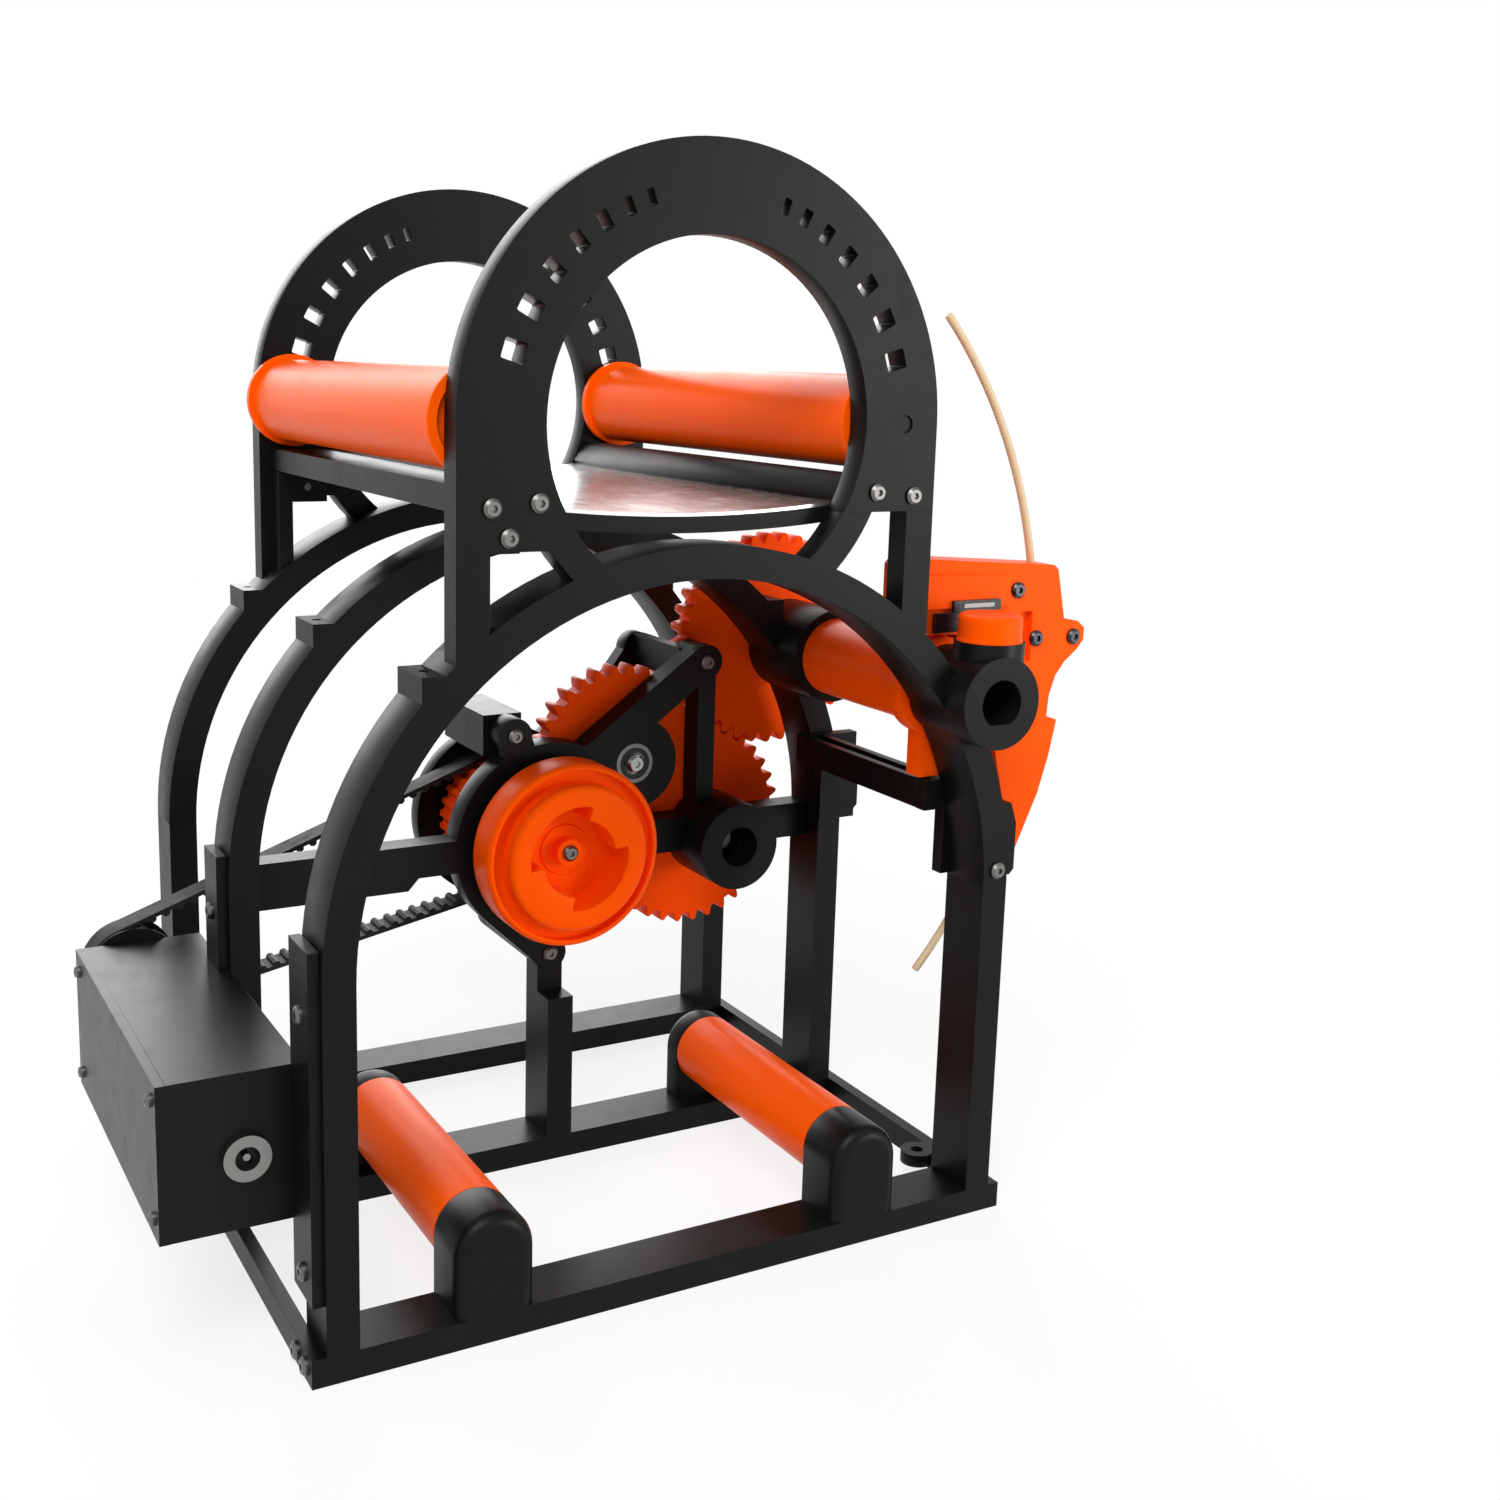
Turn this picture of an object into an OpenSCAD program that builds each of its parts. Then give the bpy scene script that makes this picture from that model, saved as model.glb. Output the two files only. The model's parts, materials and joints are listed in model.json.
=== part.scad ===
// Filament spool winder: three arches carry a driven spool hub, an upper roller
// tray for the full spool, a gear train, and a filament guide that travels
// front to back on a tube and a rail while the hub turns.
// X runs left to right, Y front to back, Z up. Millimetres.

/* [Frame] */
// Width over both side rails
base_width = 250; // [200:1:320]
// Depth from the front arch face to the rear arch face
base_depth = 209.5; // [180:0.5:280]
// Depth of each arch panel
panel_t = 20; // [12:0.5:26]
// Front face of the middle arch
middle_y = 102; // [90:1:120]
// Width of the arch bars and legs
arch_bar = 10; // [7:0.5:14]
// Height of the arch circle centre, which is also the hub axis
hub_height = 120; // [100:1:150]
// Height of the base beams and side rails
beam_high = 9; // [7:0.5:14]
// Thickness of each side rail
side_rail_t = 4.5; // [3:0.5:8]
// Height of the shoulder tabs on the arches
tab_high = 9.5; // [7:0.5:14]
// Radius of the vertical hole in each shoulder tab
tab_hole_r = 1.6; // [1:0.1:2.5]
// Radius of the small lug inside the right side rail
lug_r = 6; // [4:0.5:8]
// Radius of the hole in the small lug
lug_hole_r = 2.3; // [1.5:0.1:3]

/* [Upper rings and tray] */
// Height of the ring centre
ring_height = 276.5; // [250:0.5:320]
// Outer radius of the rings
ring_r = 81; // [70:0.5:95]
// Radius of the round opening in the rings
ring_hole_r = 54; // [45:0.5:62]
// Thickness of the ring plates
ring_t = 9; // [6:0.5:12]
// Outer radius of the curved struts under the ring
strut_r = 63.5; // [58:0.5:68]
// Width of the upright legs under the ring
ring_leg = 10.2; // [8:0.1:14]
// Height of the joint under the left ring foot
left_seam_z = 240.5; // [236:0.5:248]
// Height of the joint under the right ring foot
right_seam_z = 249.3; // [244:0.5:252]
// Radius of the row of windows
window_row_r = 66.8; // [62:0.2:72]
// Corner radius of the windows
window_corner = 0.6; // [0.3:0.1:1]
// Sideways position of the upper roller axles
top_roller_x = 68.7; // [60:0.1:74]
// Body radius of the upper rollers
top_roller_r = 15; // [11:0.5:17]
// Radius of the end rims of the upper rollers
top_rim_r = 17; // [13:0.5:19]
// Length of one rim
top_rim_t = 3; // [2:0.5:5]
// Gap between a ring plate and a roller end
roller_end_gap = 1; // [0.4:0.1:2]
// Radius of the upper axles
top_axle_r = 2.8; // [2:0.1:4]
// Wall left in front of each upper axle end
top_axle_in = 3; // [1.5:0.5:4]
// Sag of the tray in the middle
tray_sag = 3; // [1:0.5:8]
// Thickness of the tray sheet
tray_t = 1; // [0.6:0.1:2]
// Height of the tray edges
tray_edge_z = 251.4; // [248:0.2:256]
// Height of the curved saddles under the tray
saddle_high = 5; // [3:0.5:7]
// Thickness of the saddles
saddle_t = 4; // [2:0.5:6]

/* [Lower rollers] */
// Sideways position of the lower roller axles
low_roller_x = 67.5; // [55:0.5:80]
// Height of the lower roller axles
low_roller_z = 28; // [24:0.5:36]
// Radius of the lower rollers
low_roller_r = 13; // [10:0.5:15]
// Rounding on the outer edge of the roller brackets
bracket_round = 4.5; // [2:0.5:6]
// Depth of the rear roller bracket
rear_bracket_t = 11; // [8:0.5:16]
// Radius of the lower axles
low_axle_r = 3; // [2:0.1:4]
// Depth of the axle holes in the brackets
axle_seat = 8; // [5:0.5:10]
// Gap between a bracket and a lower roller
low_end_gap = 0.4; // [0.3:0.1:1]

/* [Carrier plate] */
// Thickness of the carrier plate
carrier_t = 10; // [7:0.5:12]
// Radius of the round part of the carrier behind the hub
carrier_r = 37; // [32:0.5:40]
// Width of the centre post
post_wide = 10; // [8:0.5:16]
// Height where the centre post becomes deeper
post_step_z = 63; // [40:1:75]
// Radius of the disc round the idler bearing
idler_disc_r = 17.5; // [14:0.5:20]
// Radius of the hollow boss in front of the transfer gear
hollow_boss_r = 16.5; // [13:0.5:18]
// Bore radius of the hollow boss
hollow_bore_r = 7.7; // [6:0.1:9]
// Length of the hollow boss in front of the carrier plate
hollow_boss_long = 17.5; // [10:0.5:20]
// Radius of the screw corners and spacer bars
corner_r = 6.5; // [5:0.5:8]
// Length of the foot of the upper spacer bar
blind_spacer = 6; // [4:0.5:8]
// Front face of the rear gear plate
rear_plate_y = 160; // [158:0.5:166]
// Thickness of the rear gear plate
rear_plate_t = 7; // [5:0.5:9]
// Radius of the rear gear plate round the hub
rear_plate_r = 34; // [28:0.5:38]

/* [Hub] */
// Radius of the hub flange
hub_flange_r = 33.5; // [28:0.5:38]
// Thickness of the hub flange
hub_flange_t = 15; // [8:0.5:16]
// Front face of the hub flange
hub_flange_y = 91; // [88:0.5:94]
// Radius of the raised lip in front of the flange
hub_lip_r = 26.7; // [22:0.1:30]
// How far the lip stands in front of the flange
hub_lip_high = 4.5; // [2:0.5:6]
// Radius of the spool socket
socket_r = 19; // [16:0.5:22]
// Radius inside the two locking lugs of the socket
socket_lug_r = 14; // [11:0.5:16]
// Depth of the spool socket
socket_deep = 14.5; // [8:0.5:17]
// Radius of the small boss in the middle of the socket
centre_boss_r = 5; // [3.5:0.1:7]
// How far the small boss stands above the socket floor
centre_boss_high = 5.5; // [2:0.5:10]
// Radius of the low step round the small boss
centre_step_r = 9.3; // [7:0.1:12]
// Radius of the hub barrel behind the flange
hub_barrel_r = 20; // [14:0.5:24]
// Radius of the groove between flange rim and lip
rim_groove_r = 31; // [28:0.5:32]
// Depth of the groove between flange rim and lip
rim_groove_deep = 3.5; // [1:0.5:4]
// Radius of the hub shaft
hub_shaft_r = 5; // [4:0.1:6]
// Outer radius of the hub bearings
hub_bearing_r = 11; // [9:0.5:14]
// Width of the hub bearings
hub_bearing_t = 7; // [5:0.5:9]

/* [Gears] */
// Tooth module of the gear train
gear_module = 2.2; // [1.5:0.1:3]
// Width of the gears
gear_t = 8.5; // [6:0.5:10]
// Gap between the carrier plate and the first gear
plate_gap = 1; // [0.5:0.1:2]
// Gap between the two gear planes
plane_gap = 1.5; // [0.8:0.1:3]
// Tooth play of each gear
tooth_play = 0.25; // [0.1:0.05:0.5]
// Radius of the idler axle
idler_axle_r = 2.5; // [2:0.1:4]
// Outer radius of the idler bearings
idler_bearing_r = 7.5; // [6:0.1:9]
// Width of the idler bearings
idler_bearing_t = 5; // [4:0.5:7]
// Radius of the transfer axle
transfer_axle_r = 4; // [3:0.1:5]
// Radius of the collars on the transfer and traverse gears
collar_r = 9; // [7:0.5:11]

/* [Belt drive] */
// Tip radius of the toothed hub pulley
hub_pulley_r = 26; // [22:0.5:28]
// Depth of the pulley teeth
pulley_tooth = 1.6; // [1:0.1:2.5]
// Front edge of the belt
belt_y = 147.5; // [146:0.5:150]
// Width of the belt
belt_wide = 10; // [8:0.5:11]
// Thickness of the belt without its teeth
belt_t = 1.5; // [1:0.1:2.5]
// Height of the belt teeth
belt_tooth = 1.5; // [1:0.1:2.5]
// Gap between belt and pulley tips
belt_gap = 0.3; // [0.3:0.05:0.6]
// Sideways position of the motor shaft
motor_x = -143; // [-146:0.5:-140]
// Height of the motor shaft
motor_z = 80; // [77:0.5:82]
// Radius of the motor shaft
motor_shaft_r = 3; // [2:0.1:4]
// Thickness of the motor pulley flanges
pulley_flange_t = 1.2; // [0.8:0.1:2]

/* [Motor box] */
// Width of the motor box with its lid
box_wide = 42; // [38:0.5:50]
// Depth of the motor box
box_deep = 125; // [110:1:126]
// Height of the motor box
box_high = 48; // [44:0.5:56]
// Height of the bottom of the motor box
box_z = 44; // [36:0.5:50]
// Wall thickness of the motor box
box_wall = 2.5; // [2:0.1:4]
// Thickness of the motor box lid
lid_t = 3; // [2:0.1:4]
// Side of the square screw posts inside the box
box_post = 7; // [6:0.5:9]
// Radius of the motor can
motor_can_r = 12; // [10:0.5:13]
// Radius of the motor gearbox
motor_gearbox_r = 12.5; // [10:0.1:13]
// Distance from the motor shaft to the gearbox centre
motor_offset = 6; // [4:0.5:8]
// Length of the motor gearbox
motor_gearbox_long = 24; // [16:1:30]
// Length of the motor can
motor_can_long = 58; // [40:1:64]
// Radius of the motor front boss
motor_boss_r = 5.5; // [4:0.5:7]
// Outer radius of the power inlet
inlet_r = 7; // [5:0.1:8]
// Bore radius of the power inlet
inlet_bore_r = 3.65; // [2.5:0.05:4.5]
// Radius of the threaded inlet body
inlet_body_r = 5.5; // [4.5:0.1:6.5]
// How far the inlet stands out
inlet_out = 2.4; // [1:0.1:4]
// Length of the inlet body
inlet_long = 14; // [10:0.5:18]
// Radius of the inlet pin
inlet_pin_r = 1.1; // [0.8:0.05:1.4]
// Thickness of the box straps
strap_t = 3.5; // [2.5:0.1:5]
// Width of the box straps
strap_wide = 16; // [12:0.5:18]
// Height of the top of the box straps
strap_top_z = 131; // [120:1:140]
// Height of the bottom of the front strap
strap_low_z = 24; // [18:1:34]

/* [Traverse] */
// Sideways position of the traverse axis
traverse_x = 105.6; // [104:0.1:107]
// Height of the traverse axis
traverse_z = 186.25; // [185:0.05:187.5]
// Radius of the front traverse boss
front_boss_r = 15.5; // [13:0.5:17]
// How far the front boss stands out of the front arch
front_boss_out = 10; // [6:0.5:14]
// Bore radius of the front boss
front_bore_r = 8; // [6:0.1:9]
// Drop of the flat in the front bore below the axis
bore_flat = 6.9; // [5:0.1:7.5]
// Radius of the upright post on the front boss
cap_post_r = 11.8; // [10:0.1:13]
// Sideways shift of the upright post from the traverse axis
cap_post_shift = 3; // [0:0.5:3]
// Middle of the upright post from the front face
cap_post_y = 2; // [0:0.5:4]
// Height of the top of the upright post
cap_post_z = 205.5; // [200:0.5:210]
// Radius of the cap on the upright post
cap_r = 10.6; // [8:0.1:12]
// Height of the cap on the upright post
cap_high = 9; // [6:0.5:12]
// Rounding on the cap
cap_round = 1.5; // [0.5:0.1:3]
// Radius of the peg under the cap
cap_peg_r = 4; // [3:0.5:6]
// Length of the peg under the cap
cap_peg_long = 7; // [4:0.5:9]
// Radius of the rear traverse lug
rear_lug_r = 17.5; // [15:0.5:19]
// Front face of the rear traverse lug
rear_lug_y = 88; // [84:0.5:96]
// Outer radius of the guide tube
tube_r = 14.4; // [12:0.1:15]
// Bore radius of the guide tube
tube_bore_r = 9; // [8:0.1:11]
// Width of the slot in the guide tube
tube_slot = 5; // [4:0.1:6]
// Radius of the reversing screw
screw_r = 7.5; // [6:0.1:8]
// Depth of the crossed grooves in the reversing screw
groove_deep = 1.4; // [0.8:0.1:2]
// Pitch of the crossed grooves
groove_pitch = 22; // [14:1:30]
// Radius of the reversing screw journals
journal_r = 4; // [3:0.1:5]
// Outer radius of the traverse bushes
bush_r = 7; // [6:0.1:8]
// Length of the traverse bushes
bush_long = 10; // [6:0.5:12]

/* [Guide rail] */
// Left side of the guide rail
rail_x = 99; // [96:0.5:102]
// Width of the guide rail
rail_wide = 11; // [8:0.5:12]
// Underside of the guide rail
rail_z = 143.5; // [138:0.5:146]
// Height of the guide rail
rail_high = 10.5; // [8:0.5:12]
// Width of the groove in the guide rail
rail_groove = 4; // [3:0.1:5]
// Depth of the groove in the guide rail
rail_groove_deep = 3.5; // [2:0.1:5]
// Thickness of the rail clips behind the legs
clip_t = 5; // [4:0.5:5]
// Thickness of the clip cheeks outside the legs
cheek_t = 3; // [2:0.1:4]
// Underside of the rail clips
clip_z = 120; // [112:0.5:126]

/* [Filament guide] */
// Front face of the filament guide
guide_y = 22; // [21:0.2:26]
// Thickness of the guide cover
cover_t = 5; // [3:0.5:6]
// Thickness of the guide plate behind the cover
guide_plate_t = 9; // [7:0.5:12]
// Length of the guide collar along the tube
guide_long = 8; // [7:0.5:12]
// Outer radius of the guide collar
guide_collar_r = 17.35; // [16:0.05:19]
// Depth of the shallow pad on the guide cover
pad_t = 1.5; // [0.5:0.1:2]
// Radius of the filament strand
strand_r = 1.4; // [0.8:0.05:1.5]
// Radius of the curve of the filament strand
strand_curve = 170.4; // [150:0.5:190]
// Half of the angle swept by the strand
strand_half_angle = 42.5; // [30:0.5:48]
// Radius of the cam follower pin
follower_r = 2; // [1.5:0.1:2.4]
// Travel of the filament guide along the tube
guide_travel = 50; // [20:0.5:50]

/* [Fasteners and fits] */
// Head radius of the frame screws
head_r = 2.85; // [2:0.05:3.5]
// Head height of the frame screws
head_high = 1.6; // [1:0.1:2.5]
// Shank radius of the frame screws
shank_r = 1.5; // [1:0.05:2]
// Socket radius of the screw heads
hex_r = 1.15; // [0.8:0.05:1.6]
// Depth of the sockets in the screw heads
hex_deep = 0.8; // [0.4:0.1:1.2]
// Head radius of the small box screws
small_head_r = 2.1; // [1.6:0.1:2.6]
// Shank radius of the small box screws
small_shank_r = 1.1; // [0.8:0.1:1.5]
// Play between a screw and its hole
screw_play = 0.05; // [0.02:0.01:0.1]
// Running play of axles in bushes and rollers
run_play = 0.08; // [0.03:0.01:0.1]
// Sliding play of the guide on its tube
slide_play = 0.4; // [0.3:0.05:0.6]
// Free gap between parts that pass each other
free_gap = 0.4; // [0.3:0.05:1]

/* [Hidden] */
fn = 96;
pace = base_width / 250;
half_base = base_width / 2;
arch_r = half_base - side_rail_t;
arch_in = arch_r - arch_bar;
mid_end = middle_y + panel_t;
rear_y = base_depth - panel_t;
rear_ring_y = base_depth - ring_t;
carrier_y = mid_end - carrier_t;
gear1_y = mid_end + plate_gap;
gear1_end = gear1_y + gear_t;
gear2_y = gear1_end + plane_gap;
gear2_end = gear2_y + gear_t;
belt_end = belt_y + belt_wide;
rear_plate_end = rear_plate_y + rear_plate_t;
hub_lip_y = hub_flange_y - hub_lip_high;
socket_floor_y = hub_lip_y + socket_deep;
hub_back_y = carrier_y - free_gap;
centre_boss_y = socket_floor_y - centre_boss_high;
shaft_front_y = socket_floor_y + head_high;
shaft_end_y = rear_plate_end + plate_gap;
box_y = panel_t;
box_end = box_y + box_deep;
box_right = -arch_r;
box_left = box_right - box_wide;
lid_right = box_left + lid_t;
box_top = box_z + box_high;
tube_y = panel_t;
guide_end = guide_y + guide_long;
plate_end = guide_y + cover_t + guide_plate_t;
strand_y = guide_y + cover_t + guide_plate_t / 3;
long = base_depth * 4;
small = head_high / 8;

// Tooth counts: hub pinion, idler, idler pinion, transfer, traverse, pulleys
teeth_hub = 8;
teeth_idler = 31;
teeth_second = 8;
teeth_transfer = 36;
teeth_traverse = 37;
teeth_hub_pulley = 32;
teeth_motor_pulley = 18;
motor_pulley_r = hub_pulley_r * teeth_motor_pulley / teeth_hub_pulley;
pressure = 25;

// Gear centres: the hub and traverse axes are given, the mesh distances fix the rest
hub_c = [0, hub_height];
traverse_c = [traverse_x, traverse_z];
idler_far = gear_module * (teeth_hub + teeth_idler) / 2;
transfer_far = gear_module * (teeth_second + teeth_transfer) / 2;
traverse_far = gear_module * (teeth_transfer + teeth_traverse) / 2;
idler_dir = 37.62;
idler_c = hub_c + idler_far * [cos(idler_dir), sin(idler_dir)];
it_gap = traverse_c - idler_c;
it_far = norm(it_gap);
it_dir = atan2(it_gap[1], it_gap[0]);
it_cos = (transfer_far * transfer_far + it_far * it_far - traverse_far * traverse_far)
    / (2 * transfer_far * it_far);
transfer_dir = it_dir - acos(it_cos);
transfer_c = idler_c + transfer_far * [cos(transfer_dir), sin(transfer_dir)];
tt_gap = traverse_c - transfer_c;
traverse_dir = atan2(tt_gap[1], tt_gap[0]);
motor_c = [motor_x, motor_z];

// Resting angles that put the teeth in mesh
idler_turn = idler_dir + 180 + 180 / teeth_idler;
transfer_turn = transfer_dir + 180 + 180 / teeth_transfer;
transfer_pitch = 360 / teeth_transfer;
mesh_raw = (transfer_turn - traverse_dir) / transfer_pitch;
mesh_off = (mesh_raw - round(mesh_raw)) * transfer_pitch;
traverse_turn = traverse_dir + 180 - mesh_off * teeth_transfer / teeth_traverse
    + 180 / teeth_traverse;

// Positions and outlines as multiples of 1/250 of the base width
window_shares = [[17, 7, 6], [28, 7, 5.4], [38.5, 6.6, 4.8], [48, 6.2, 4.2],
    [56.5, 5.8, 3.6], [64, 5.4, 3], [70.5, 5, 2.4]];
left_ring_screw_shares = [[-70.3, 252.9], [-56, 254.1], [-65.1, 244.4]];
right_ring_screw_shares = [[59.1, 255.3], [73.1, 254.1]];
tray_rail_shares = [[76.5, 250.6], [76.5, 258.5], [58, 258.5], [55, 261],
    [52.8, 259.4], [50.4, 256.2], [49, 253.6], [49, 250.6]];
corner_shares = [[-14.4, 160.5], [0, 77], [64.1, 182.7]];
diagonal_shares = [[13, 153.9], [59, 187.3], [68, 180], [60.5, 173.5],
    [43.5, 161], [46, 150], [34, 142], [16, 134]];
chamfer_shares = [[0, 120], [-25.6, 93.2], [-5, 73.4], [5, 73.4], [5, 84]];
left_arm_shares = [[-110.5, 108], [-55, 108], [-51, 112.3], [-30, 112.3],
    [-30, 124.3], [-110.5, 124.3]];
right_arm_shares = [[28, 110], [110.5, 110], [110.5, 123.5], [28, 123.5]];
bar_shares = [[60.5, 116], [68, 116], [68, 183], [60.5, 183]];
guide_shares = [[84.7, 211], [84.7, 229], [86, 230.4], [98, 230.6], [120, 229],
    [152.6, 226.8], [154.4, 225.2], [158.4, 207.4], [165, 206.2], [168, 203.8],
    [168, 199.4], [165.2, 196], [159.6, 191.6], [156, 187], [153.6, 180],
    [153, 172.4], [157.8, 170.7], [155.2, 158], [151.1, 144.3], [142.3, 124.8],
    [136.5, 138], [132, 154.4], [130, 163], [126, 172], [122, 186], [112, 204],
    [86, 206]];
guide_screw_shares = [[136.3, 218.6], [145.6, 201.1], [162.8, 200.8]];
pad_shares = [[86, 213.6], [131.8, 213.6], [131.8, 224], [86, 226]];
recess_shares = [[138.6, 193], [143.6, 193], [143.6, 210.8], [138.6, 210.8]];
latch_shares = [[106.7, 212.6], [126.7, 212.6], [126.7, 216.4], [106.7, 216.4]];
foot_shares = [[98, 155], [110.2, 155], [110.2, 172], [98, 172]];
guide_body_shares = [[100, 120], [170, 120], [170, 232], [100, 232]];
strand_centre_shares = [-19.5, 196.6];
upper_bar_shares = [57.2, 61.8, 174.5, 187];
cheek_shares = [[117, 122.8], [123.2, 122.8], [125, 124.6], [125, 141], [122.4, 148.4],
    [116, 148.4]];
inlet_shares = [-137.5, 66.5];
lap_left_shares = [[-76.4, 205], [-71.2, 205], [-71.2, 239], [-58, 239],
    [-58, 250.2], [-76.4, 250.2]];
lap_right_shares = [[77.4, 200], [81, 200], [81, 258], [77.4, 258]];

// Colours
black = [0.08, 0.08, 0.08];
orange = [1, 0.27, 0.02];
steel = [0.6, 0.6, 0.6];
pale = [0.8, 0.8, 0.78];
cream = [0.93, 0.85, 0.68];

// Helpers. A slab is a front view outline given depth; a rod runs front to back
module slab(y0, t) {
    translate([0, y0 + t, 0]) rotate([90, 0, 0]) linear_extrude(height = t) children();
}
module rod(c, y0, y1, r) {
    translate([c[0], y0, c[1]]) rotate([-90, 0, 0]) cylinder(h = y1 - y0, r = r, $fn = fn);
}
module turned(c) {
    translate([c[0], 0, c[1]]) rotate([-90, 0, 0]) rotate_extrude($fn = fn) children();
}
module box(x0, x1, y0, y1, z0, z1) {
    translate([x0, y0, z0]) cube([x1 - x0, y1 - y0, z1 - z0]);
}
module rect(x0, x1, z0, z1) {
    translate([x0, z0]) square([x1 - x0, z1 - z0]);
}
module disc(c, r) {
    translate(c) circle(r = r, $fn = fn);
}
module outline(shares) {
    polygon([for (p = shares) p * pace]);
}
module link(p, q, w) {
    d = q - p;
    translate(p) rotate(atan2(d[1], d[0])) translate([0, -w / 2]) square([norm(d), w]);
}
module front_back() {
    children();
    translate([0, base_depth, 0]) mirror([0, 1, 0]) children();
}
module both_sides() {
    children();
    mirror([1, 0, 0]) children();
}

// Screws point their head at the viewer of the named side
module screw_at(size_r, stem_r, long_in) {
    difference() {
        union() {
            rotate_extrude($fn = fn) polygon([[0, 0], [size_r, 0],
                [size_r, head_high * 0.5], [size_r * 0.72, head_high], [0, head_high]]);
            translate([0, 0, -long_in]) cylinder(h = long_in, r = stem_r, $fn = fn);
        }
        translate([0, 0, head_high - hex_deep])
            cylinder(h = hex_deep * 2, r = hex_r * size_r / head_r, $fn = 6);
    }
}
module front_screw(c, y, long_in) {
    translate([c[0], y, c[1]]) rotate([90, 0, 0]) screw_at(head_r, shank_r, long_in);
}
module rear_screw(c, y, long_in) {
    translate([c[0], y, c[1]]) rotate([-90, 0, 0]) screw_at(head_r, shank_r, long_in);
}
module left_screw(y, z, x, long_in, size_r, stem_r) {
    translate([x, y, z]) rotate([0, -90, 0]) screw_at(size_r, stem_r, long_in);
}
module side_hole(y, z, x0, x1, r) {
    translate([x0, y, z]) rotate([0, 90, 0]) cylinder(h = x1 - x0, r = r, $fn = fn);
}

// Gear outlines with involute flanks, a small shift and rounded tips
function inv_deg(a) = tan(a) * 180 / PI - a;
function polar(r, a) = [r * cos(a), r * sin(a)];
module gear_outline(n, shift, tip_r, root_r) {
    pitch_r = gear_module * n / 2;
    base_r = pitch_r * cos(pressure);
    half = 90 / n + (2 * shift * tan(pressure) / n - tooth_play / (2 * pitch_r)) * 180 / PI;
    wide = half + inv_deg(pressure);
    low_r = max(base_r, root_r);
    top_r = tip_r - gear_module / 5;
    steps = 5;
    radii = [for (i = [0:steps]) low_r + (top_r - low_r) * i / steps];
    turns = [for (r = radii) wide - inv_deg(acos(base_r / max(r, base_r)))];
    tip_turn = wide - inv_deg(acos(base_r / tip_r));
    polygon([for (k = [0:n - 1]) for (j = [0:2 * steps + 5])
        let (c = 360 * k / n, i = j < steps + 3 ? j : 2 * steps + 5 - j,
            s = j < steps + 3 ? -1 : 1,
            r = i == 0 ? root_r : (i == steps + 2 ? tip_r : radii[i - 1]),
            t = i == 0 ? turns[0] : (i == steps + 2 ? tip_turn * 0.5 : turns[i - 1]))
        polar(r, c + s * t)]);
}
module wheel_outline(n) {
    pitch_r = gear_module * n / 2;
    gear_outline(n, -0.3, pitch_r + gear_module * 0.6, pitch_r - gear_module * 0.95);
}
module pinion_outline(n) {
    pitch_r = gear_module * n / 2;
    gear_outline(n, 0.3, pitch_r + gear_module * 0.75, pitch_r - gear_module * 0.8);
}
module long_wheel_outline(n) {
    pitch_r = gear_module * n / 2;
    gear_outline(n, 0.3, pitch_r + gear_module * 0.75, pitch_r - gear_module * 0.8);
}
module pulley_outline(n, tip_r) {
    difference() {
        circle(r = tip_r, $fn = fn);
        for (k = [0:n - 1]) rotate(360 * k / n) translate([tip_r, 0])
            circle(r = pulley_tooth, $fn = 10);
    }
}

// Frame outlines
module arch_outline() {
    difference() {
        union() {
            intersection() {
                disc(hub_c, arch_r);
                rect(-half_base, half_base, hub_height / 2, hub_height + half_base);
            }
            rect(-arch_r, arch_r, 0, hub_height);
        }
        disc(hub_c, arch_in);
        rect(-arch_in, arch_in, beam_high, hub_height);
    }
}
module pedestal_outline() {
    difference() {
        union() {
            intersection() {
                difference() {
                    disc([0, ring_height], strut_r);
                    disc([0, ring_height], ring_hole_r);
                }
                union() {
                    rect(-ring_r + ring_leg, 0, hub_height, left_seam_z);
                    rect(0, ring_r - ring_leg, hub_height, right_seam_z);
                }
            }
            rect(-ring_r, -ring_r + ring_leg, hub_height + ring_r * 0.9, left_seam_z);
            rect(ring_r - ring_leg, ring_r, hub_height + ring_r * 0.9, right_seam_z);
        }
        disc(hub_c, arch_in + arch_bar / 2);
    }
}
module ring_half(seam_z) {
    intersection() {
        union() {
            disc([0, ring_height], ring_r);
            rect(0, ring_r, seam_z, ring_height);
        }
        rect(0, ring_r, seam_z, ring_height + ring_r);
    }
}
module window(w) {
    a = w[0];
    translate([0, ring_height]) rotate(a) translate([window_row_r, 0]) square_round(w[1] * pace, w[2] * pace);
}
module square_round(x, y) {
    union() {
        square([x - window_corner * 2, y], center = true);
        square([x, y - window_corner * 2], center = true);
        for (i = [-1, 1]) for (j = [-1, 1])
            translate([i * (x / 2 - window_corner), j * (y / 2 - window_corner)])
                circle(r = window_corner, $fn = 24);
    }
}
module ring_outline() {
    difference() {
        union() {
            ring_half(right_seam_z);
            mirror([1, 0]) ring_half(left_seam_z);
        }
        disc([0, ring_height], ring_hole_r);
        for (w = window_shares) {
            window(w);
            mirror([1, 0]) window(w);
        }
    }
}
module top_axle_holes(y0, y1) {
    for (s = [-1, 1]) rod([s * top_roller_x, ring_height], y0, y1, top_axle_r + screw_play);
}
module ring_screw_holes(y0, y1) {
    for (p = concat(left_ring_screw_shares, right_ring_screw_shares))
        rod(p * pace, y0, y1, shank_r + screw_play);
}
module tab(side) {
    x0 = side * (arch_r * 0.66);
    x1 = side * (arch_r * 0.755);
    z = hub_height + arch_r * 0.64;
    rect(min(x0, x1), max(x0, x1), z, z + tab_high);
}
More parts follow.
